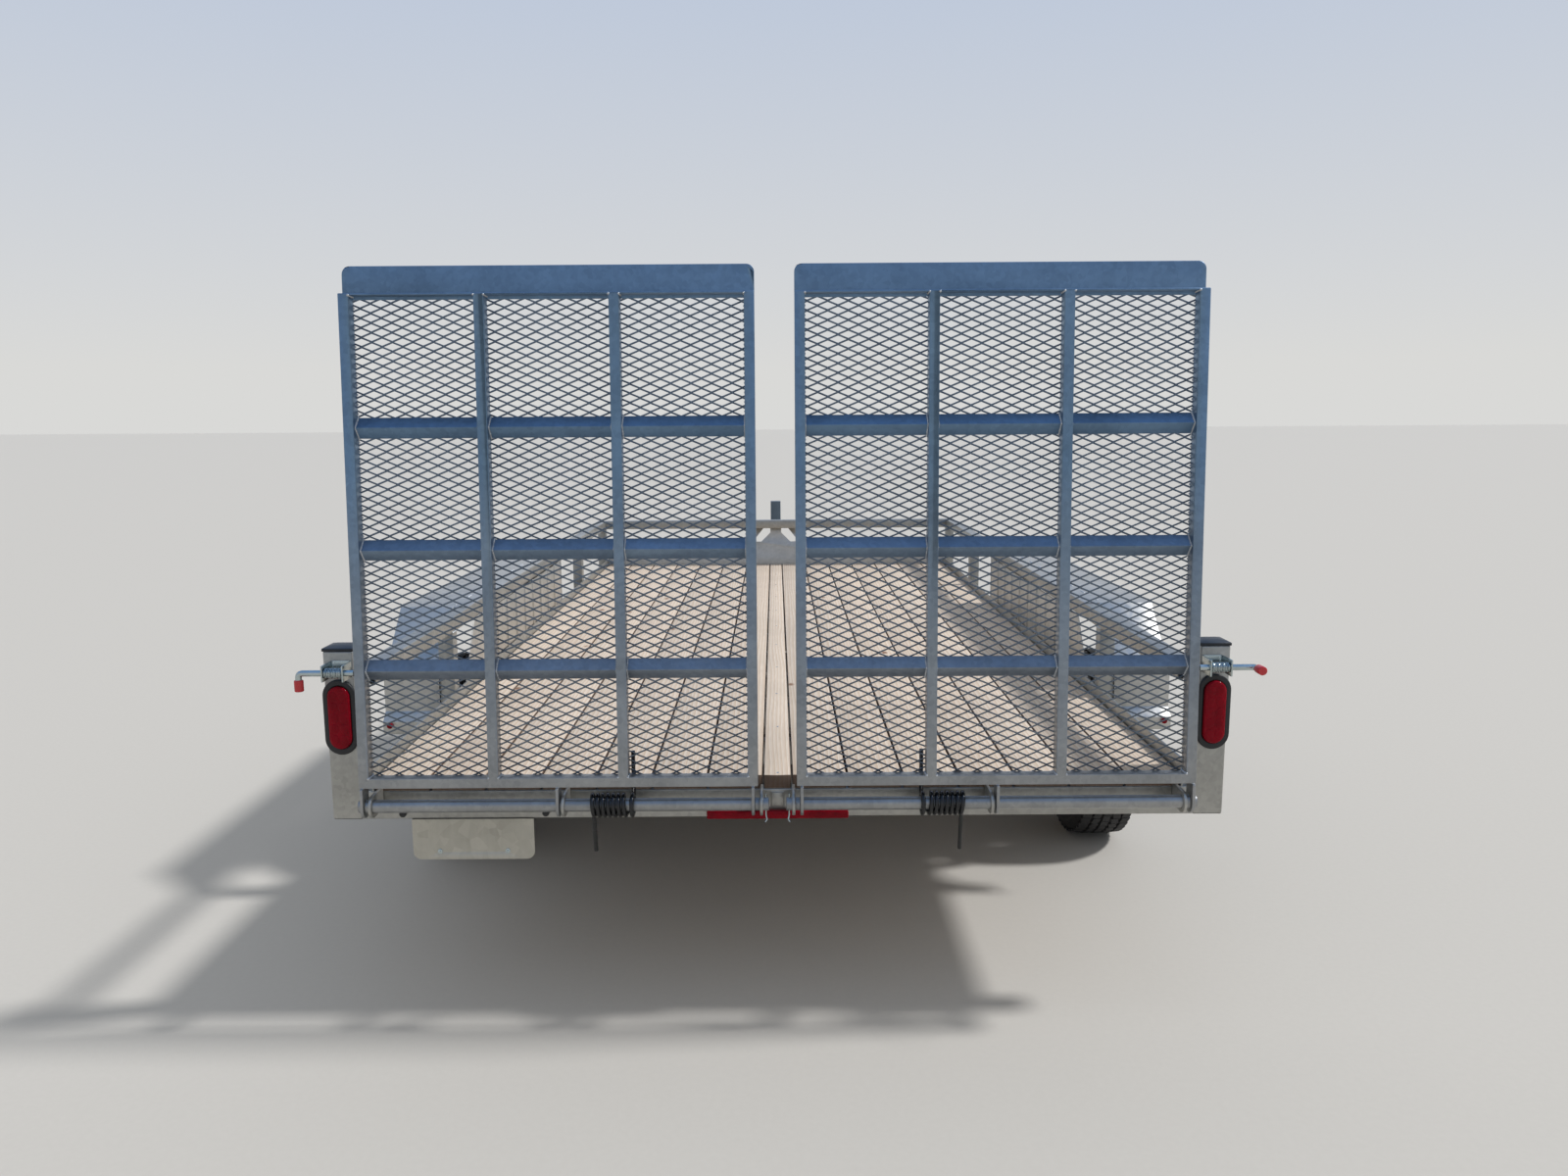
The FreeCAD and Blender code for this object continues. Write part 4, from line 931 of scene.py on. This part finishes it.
right_bracket, right_coil = shape_bracket(), latch_spring()
left_parts = [mirror_copy(right_bracket, "latch_bracket_left"), mirror_copy(right_coil, "latch_spring_left")]
left_rod = latch_rod("latch_rod_down", (0, 0, -1))
left_parts.append(mirror_copy(left_rod, "latch_rod_left"))
bpy.data.objects.remove(left_rod)
select_only(*left_parts, right_bracket, right_coil, latch_rod("latch_rod_right", (0, -1, 0)))
bpy.ops.object.join()
latches = bpy.context.object
latches.name = "gate_latches_plated"
settle(latches, "chassis", bright_zinc, 40.0)
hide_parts("gate_latches")
red_vinyl = plain_finish("dipped_vinyl", "#d0202c", "#a3141f", 0.24, 3.0, 0.0002, 20.0, {"Coat Weight": 0.3})
dressed("latch_grips", red_vinyl, 0.003, 4)


# Axles and leaf springs: round tube axles under four-leaf springs joined by an equaliser, in black enamel.
# Each spring is held to its axle's seat by two U-bolts, a tie plate and four nuts.
enamel = plain_finish("black_enamel", "#2a2b2d", "#18191a", 0.38, 2.5, 0.0002, 80.0)
for node in ("axles", "leaf_springs", "equalisers"):
    dressed(node, enamel, 0.0012, 2)
dressed("spring_hangers", dipped_zinc, 0.0015, 2)

axle_places = {end: Vector(joints["wheel_" + end + "_right_spin"]["pos_m"]) for end in ("rear", "front")}
axle_z = axle_places["rear"].z
spring_low, spring_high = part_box("leaf_springs")
leaf_half = 0.0225
leaf_stack = 0.028
spring_x = spring_high[0] - leaf_half
stack_top = spring_low[2] + leaf_stack
tie_thick = 0.008
bolt_wire = 0.006
bolt_half = 0.0365
bolt_apart = 0.0295


def shape_tie_plate():
    """The plate above the leaves, its corners cut off."""
    tie = fresh(bpy.ops.mesh.primitive_cube_add, size=1.0, location=(0, 0, 0))
    tie.scale = (0.080, 0.104, tie_thick)
    bpy.ops.object.transform_apply(scale=True)
    for edge in tie.data.edges:
        low, high = [tie.data.vertices[corner].co for corner in edge.vertices]
        edge.select = abs(low.z - high.z) > tie_thick / 2
    edit_marked("EDGE")
    bpy.ops.mesh.bevel(offset=0.014, segments=1, affect="EDGES")
    bpy.ops.object.mode_set(mode="OBJECT")
    edge_round(tie, 0.001, 2, 50.0)
    return take_shape(tie)


def shape_u_bolt():
    """One U-bolt round the axle, seen along X, its legs ending above the tie plate."""
    rise = stack_top + tie_thick + 0.018 - axle_z
    line = [(0, -bolt_half, rise), (0, -bolt_half, 0.004)]
    for step in range(1, 12):
        turn = math.pi * step / 12
        line.append((0, -bolt_half * math.cos(turn), -bolt_half * math.sin(turn)))
    line += [(0, bolt_half, 0.004), (0, bolt_half, rise)]
    return take_shape(bar_along("u_bolt", line, bolt_wire, 10))


ties, bolts, nuts = [], [], []
for place in axle_places.values():
    for side in (-1, 1):
        middle = Vector((side * spring_x, place.y, 0))
        ties.append(Matrix.Translation(middle + Vector((0, 0, stack_top + tie_thick / 2))))
        for across in (-bolt_apart, bolt_apart):
            bolts.append(Matrix.Translation(middle + Vector((across, 0, axle_z))))
            for along in (-bolt_half, bolt_half):
                nuts.append(Matrix.Translation(middle + Vector((across, along, stack_top + tie_thick))))
settle(scatter(shape_tie_plate(), "tie_plates", ties), "chassis", enamel)
settle(scatter(shape_u_bolt(), "u_bolts", bolts), "chassis", bright_zinc, 50.0)
u_nut_shape = shape_nut(0.0105, 0.010, bolt_wire, 0.001)
settle(scatter(u_nut_shape, "u_bolt_nuts", nuts), "chassis", bright_zinc)

# Nuts and heads on the spring eyes' and equalisers' bolts, outside the cheeks
eye_nuts = []
hanger_low, hanger_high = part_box("spring_hangers")
cheek_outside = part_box("equalisers")[1][0] - 0.003
cheeks_apart = 0.059
eye_inset = 0.030
eye_from_middle = 0.102
eye_z = hanger_low[2] + 0.018
group_y = (axle_places["rear"].y + axle_places["front"].y) / 2
for side in (-1, 1):
    for along in (hanger_low[1] + eye_inset, hanger_high[1] - eye_inset, group_y - eye_from_middle, group_y,
                  group_y + eye_from_middle):
        above = 0.006 if along == group_y else 0.0
        for face, turn in ((cheek_outside, 90.0), (cheek_outside - cheeks_apart, -90.0)):
            place = Matrix.Translation((side * face, along, eye_z + above))
            eye_nuts.append(place @ Matrix.Rotation(math.radians(side * turn), 4, "Y"))
eye_nut_shape = shape_nut(0.0125, 0.009, 0.007, 0.002)
settle(scatter(eye_nut_shape, "eye_bolt_nuts", eye_nuts), "chassis", bright_zinc)


# Wheels: a moulded rubber tyre on a pressed steel rim in silver enamel, bolted to a cast hub and drum.
# The tyre is a turned casing with moulded sidewall rings; its tread is five ribs of separate blocks.
tyre_rubber = plain_finish("tyre_rubber", "#2b2b2c", "#1b1b1c", 0.68, 1.4, 0.0003, 45.0)
silver = plain_finish("silver_enamel", "#c2c6ca", "#aeb3b8", 0.34, 2.0, 0.0001, 90.0, {"Metallic": 0.55})
casting = plain_finish("cast_iron", "#55565a", "#37383b", 0.52, 2.2, 0.0005, 30.0, {"Metallic": 0.6})
tyre_low, tyre_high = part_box("tyre_rear_right")
tyre_radius = (tyre_high[2] - tyre_low[2]) / 2
tyre_half = (tyre_high[0] - tyre_low[0]) / 2
bead_radius = 0.1908
bead_half = 0.0717
tread_deep = 0.0075
blocks_round = 56
casing_steps = 96
half_casing = (  # share of the half width, radius
    (0.00, tyre_radius - tread_deep), (0.62, tyre_radius - tread_deep - 0.0010), (0.84, tyre_radius - 0.0165),
    (0.925, tyre_radius - 0.0250), (0.970, tyre_radius - 0.0360), (0.984, tyre_radius - 0.0480),
    (0.975, tyre_radius - 0.0500), (0.980, tyre_radius - 0.0540), (1.000, bead_radius + 0.0800),
    (0.998, bead_radius + 0.0700), (0.984, bead_radius + 0.0690), (0.980, bead_radius + 0.0650),
    (0.990, bead_radius + 0.0635), (0.960, bead_radius + 0.0450), (0.900, bead_radius + 0.0330),
    (0.915, bead_radius + 0.0290), (0.900, bead_radius + 0.0250), (0.760, bead_radius + 0.0170),
    (bead_half / tyre_half, bead_radius))
ribs = (  # middle as a share of the half width, width, below the tread's crown, turn of each block
    (0.00, 0.026, 0.0000, 0.0), (0.33, 0.026, 0.0003, 14.0), (-0.33, 0.026, 0.0003, -14.0),
    (0.69, 0.031, 0.0030, -8.0), (-0.69, 0.031, 0.0030, 8.0))


def turned_ring(name, outline, steps):
    """A closed profile of (x, radius) points, drawn point by point and spun about the X axis."""
    ring = fresh(bpy.ops.mesh.primitive_plane_add, size=0.001, location=(0, 0, 0))
    ring.name = name
    edit_all()
    bpy.ops.mesh.merge(type="CENTER")
    bpy.ops.mesh.select_all(action="SELECT")
    bpy.ops.transform.translate(value=(outline[0][0], 0, outline[0][1]))
    for before, after in zip(outline, outline[1:] + outline[:1]):
        move = (after[0] - before[0], 0, after[1] - before[1])
        bpy.ops.mesh.extrude_vertices_move(TRANSFORM_OT_translate={"value": move})
    bpy.ops.mesh.select_all(action="SELECT")
    bpy.ops.mesh.remove_doubles(threshold=0.00001)
    bpy.ops.mesh.select_all(action="SELECT")
    bpy.ops.mesh.spin(steps=steps, angle=2 * math.pi, center=(0, 0, 0), axis=(1, 0, 0))
    bpy.ops.mesh.select_all(action="SELECT")
    bpy.ops.mesh.remove_doubles(threshold=0.00001)
    bpy.ops.mesh.normals_make_consistent(inside=False)
    bpy.ops.object.mode_set(mode="OBJECT")
    return ring


def shape_block(wide):
    """One tread block, its foot sunk in the casing and its upper edges moulded round."""
    long = 2 * math.pi * tyre_radius / blocks_round - 0.0038
    block = fresh(bpy.ops.mesh.primitive_cube_add, size=1.0, location=(0, 0, -tread_deep / 2 - 0.001))
    block.scale = (wide, long, tread_deep + 0.002)
    bpy.ops.object.transform_apply(location=True, scale=True)
    edge_round(block, 0.0012, 1)
    return take_shape(block)


def shape_tyre():
    """The casing and its five ribs of tread blocks, the outer ribs leaning out over the shoulders."""
    right = [(share * tyre_half, radius) for share, radius in half_casing]
    left = [(-x, radius) for x, radius in reversed(right[1:])]
    parts = [turned_ring("tyre_casing", right + left, casing_steps)]
    for share, wide, below, skew in ribs:
        lean_out = math.radians(6.0) * (share > 0.5) - math.radians(6.0) * (share < -0.5)
        places = []
        for number in range(blocks_round):
            turn = 2 * math.pi * (number + 0.5 * (abs(share) > 0.3)) / blocks_round
            places.append(Matrix.Rotation(turn, 4, "X")
                          @ Matrix.Translation((share * tyre_half, 0, tyre_radius - 0.0006 - below))
                          @ Matrix.Rotation(lean_out, 4, "Y") @ Matrix.Rotation(math.radians(skew), 4, "Z"))
        parts.append(scatter(shape_block(wide), "tread_rib", places))
    select_only(*parts[1:], parts[0])
    bpy.ops.object.join()
    return take_shape(bpy.context.object)


def shape_cone_nut():
    """A wheel nut with its cone against the rim, its axis along X."""
    nut = bpy.data.objects.new("wheel_nut", shape_nut(0.0120, 0.0165, 0.0063, 0.0065))
    bpy.context.scene.collection.objects.link(nut)
    nut.rotation_euler = (0, math.radians(90.0), 0)
    select_only(nut)
    bpy.ops.object.transform_apply(rotation=True)
    return take_shape(nut)


tyre_shape = shape_tyre()
nut_shape = shape_cone_nut()
stud_circle = 0.05715
nut_out = 0.0063
for end, place in axle_places.items():
    for side, sign in (("right", 1), ("left", -1)):
        key = end + "_" + side
        body = "wheel_" + key
        centre = Matrix.Translation((sign * place.x, place.y, place.z))
        settle(scatter(tyre_shape, "tyre_moulded_" + key, [centre]), body, tyre_rubber, 32.0)
        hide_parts("tyre_" + key)
        dressed("rim_" + key, silver, 0.0012, 2)
        dressed("hub_" + key, casting, 0.0012, 2)
        facing = Matrix.Identity(4) if sign == 1 else Matrix.Rotation(math.pi, 4, "Z")
        places = []
        for number in range(5):
            turn = 2 * math.pi * number / 5
            offset = Vector((sign * nut_out, stud_circle * math.cos(turn), stud_circle * math.sin(turn)))
            places.append(centre @ Matrix.Translation(offset) @ facing)
        settle(scatter(nut_shape, "wheel_nuts_" + key, places), body, bright_zinc)


# Tongue, coupler and jack: an A-frame of two tubes, a pressed coupler with a lever latch, and a jack
# in grey enamel with a zinc-plated crank and leg, clamped in a plate between the tubes.
dressed("tongue_tubes", dipped_zinc, 0.003, 3)
dressed("coupler", bright_zinc, 0.0015, 2)
dressed("coupler_latch", bright_zinc, 0.0025, 3)
jack_enamel = plain_finish("grey_enamel", "#63727f", "#4f5d69", 0.35, 2.0, 0.0001, 80.0)
dressed("jack_tube", jack_enamel, 0.003, 3)
dressed("jack_crank", bright_zinc, 0.001, 2)
dressed("jack_leg", bright_zinc, 0.002, 2)

nose_from_ball = 0.04335
ball_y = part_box("coupler")[1][1] - nose_from_ball
tube_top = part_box("tongue_tubes")[1][2]
flank_rear, flank_front = (0.094, ball_y - 0.238, tube_top), (0.050, ball_y - 0.060, tube_top)
plate_rear, plate_front = [(0.060, ball_y - behind, tube_top + weld_proud) for behind in (0.360, 0.250)]
seams = []
for side in (-1, 1):
    for line in ((flank_rear, flank_front), (plate_rear, plate_front)):
        seams.append([(side * x, y, z) for x, y, z in line])
weld_row("tongue_welds", seams, "chassis")

# Jack grip: moulded black rubber over the crank's knob, ribbed for the hand
crank_low, crank_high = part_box("jack_crank")
rib_pitch = 0.0098
rib_radius = 0.0136
grip_outline = [(0.0, 0.0122)]
for number in range(8):
    start = number * rib_pitch
    grip_outline += [(0.002 + start, rib_radius), (0.0075 + start, rib_radius), (0.0085 + start, 0.0127)]
grip_long = 0.086
knob_radius = 0.012
grip_outline += [(0.0825, rib_radius), (grip_long, 0.0110), (grip_long, 0.004), (0.0, 0.004)]
grip = turned_ring("jack_grip", grip_outline, 20)
grip.matrix_world = (Matrix.Translation((0, crank_high[1] - grip_long - 0.0002, crank_low[2] + knob_radius))
                     @ Matrix.Rotation(math.radians(90.0), 4, "Z"))
settle(grip, "chassis", rubber, 40.0)
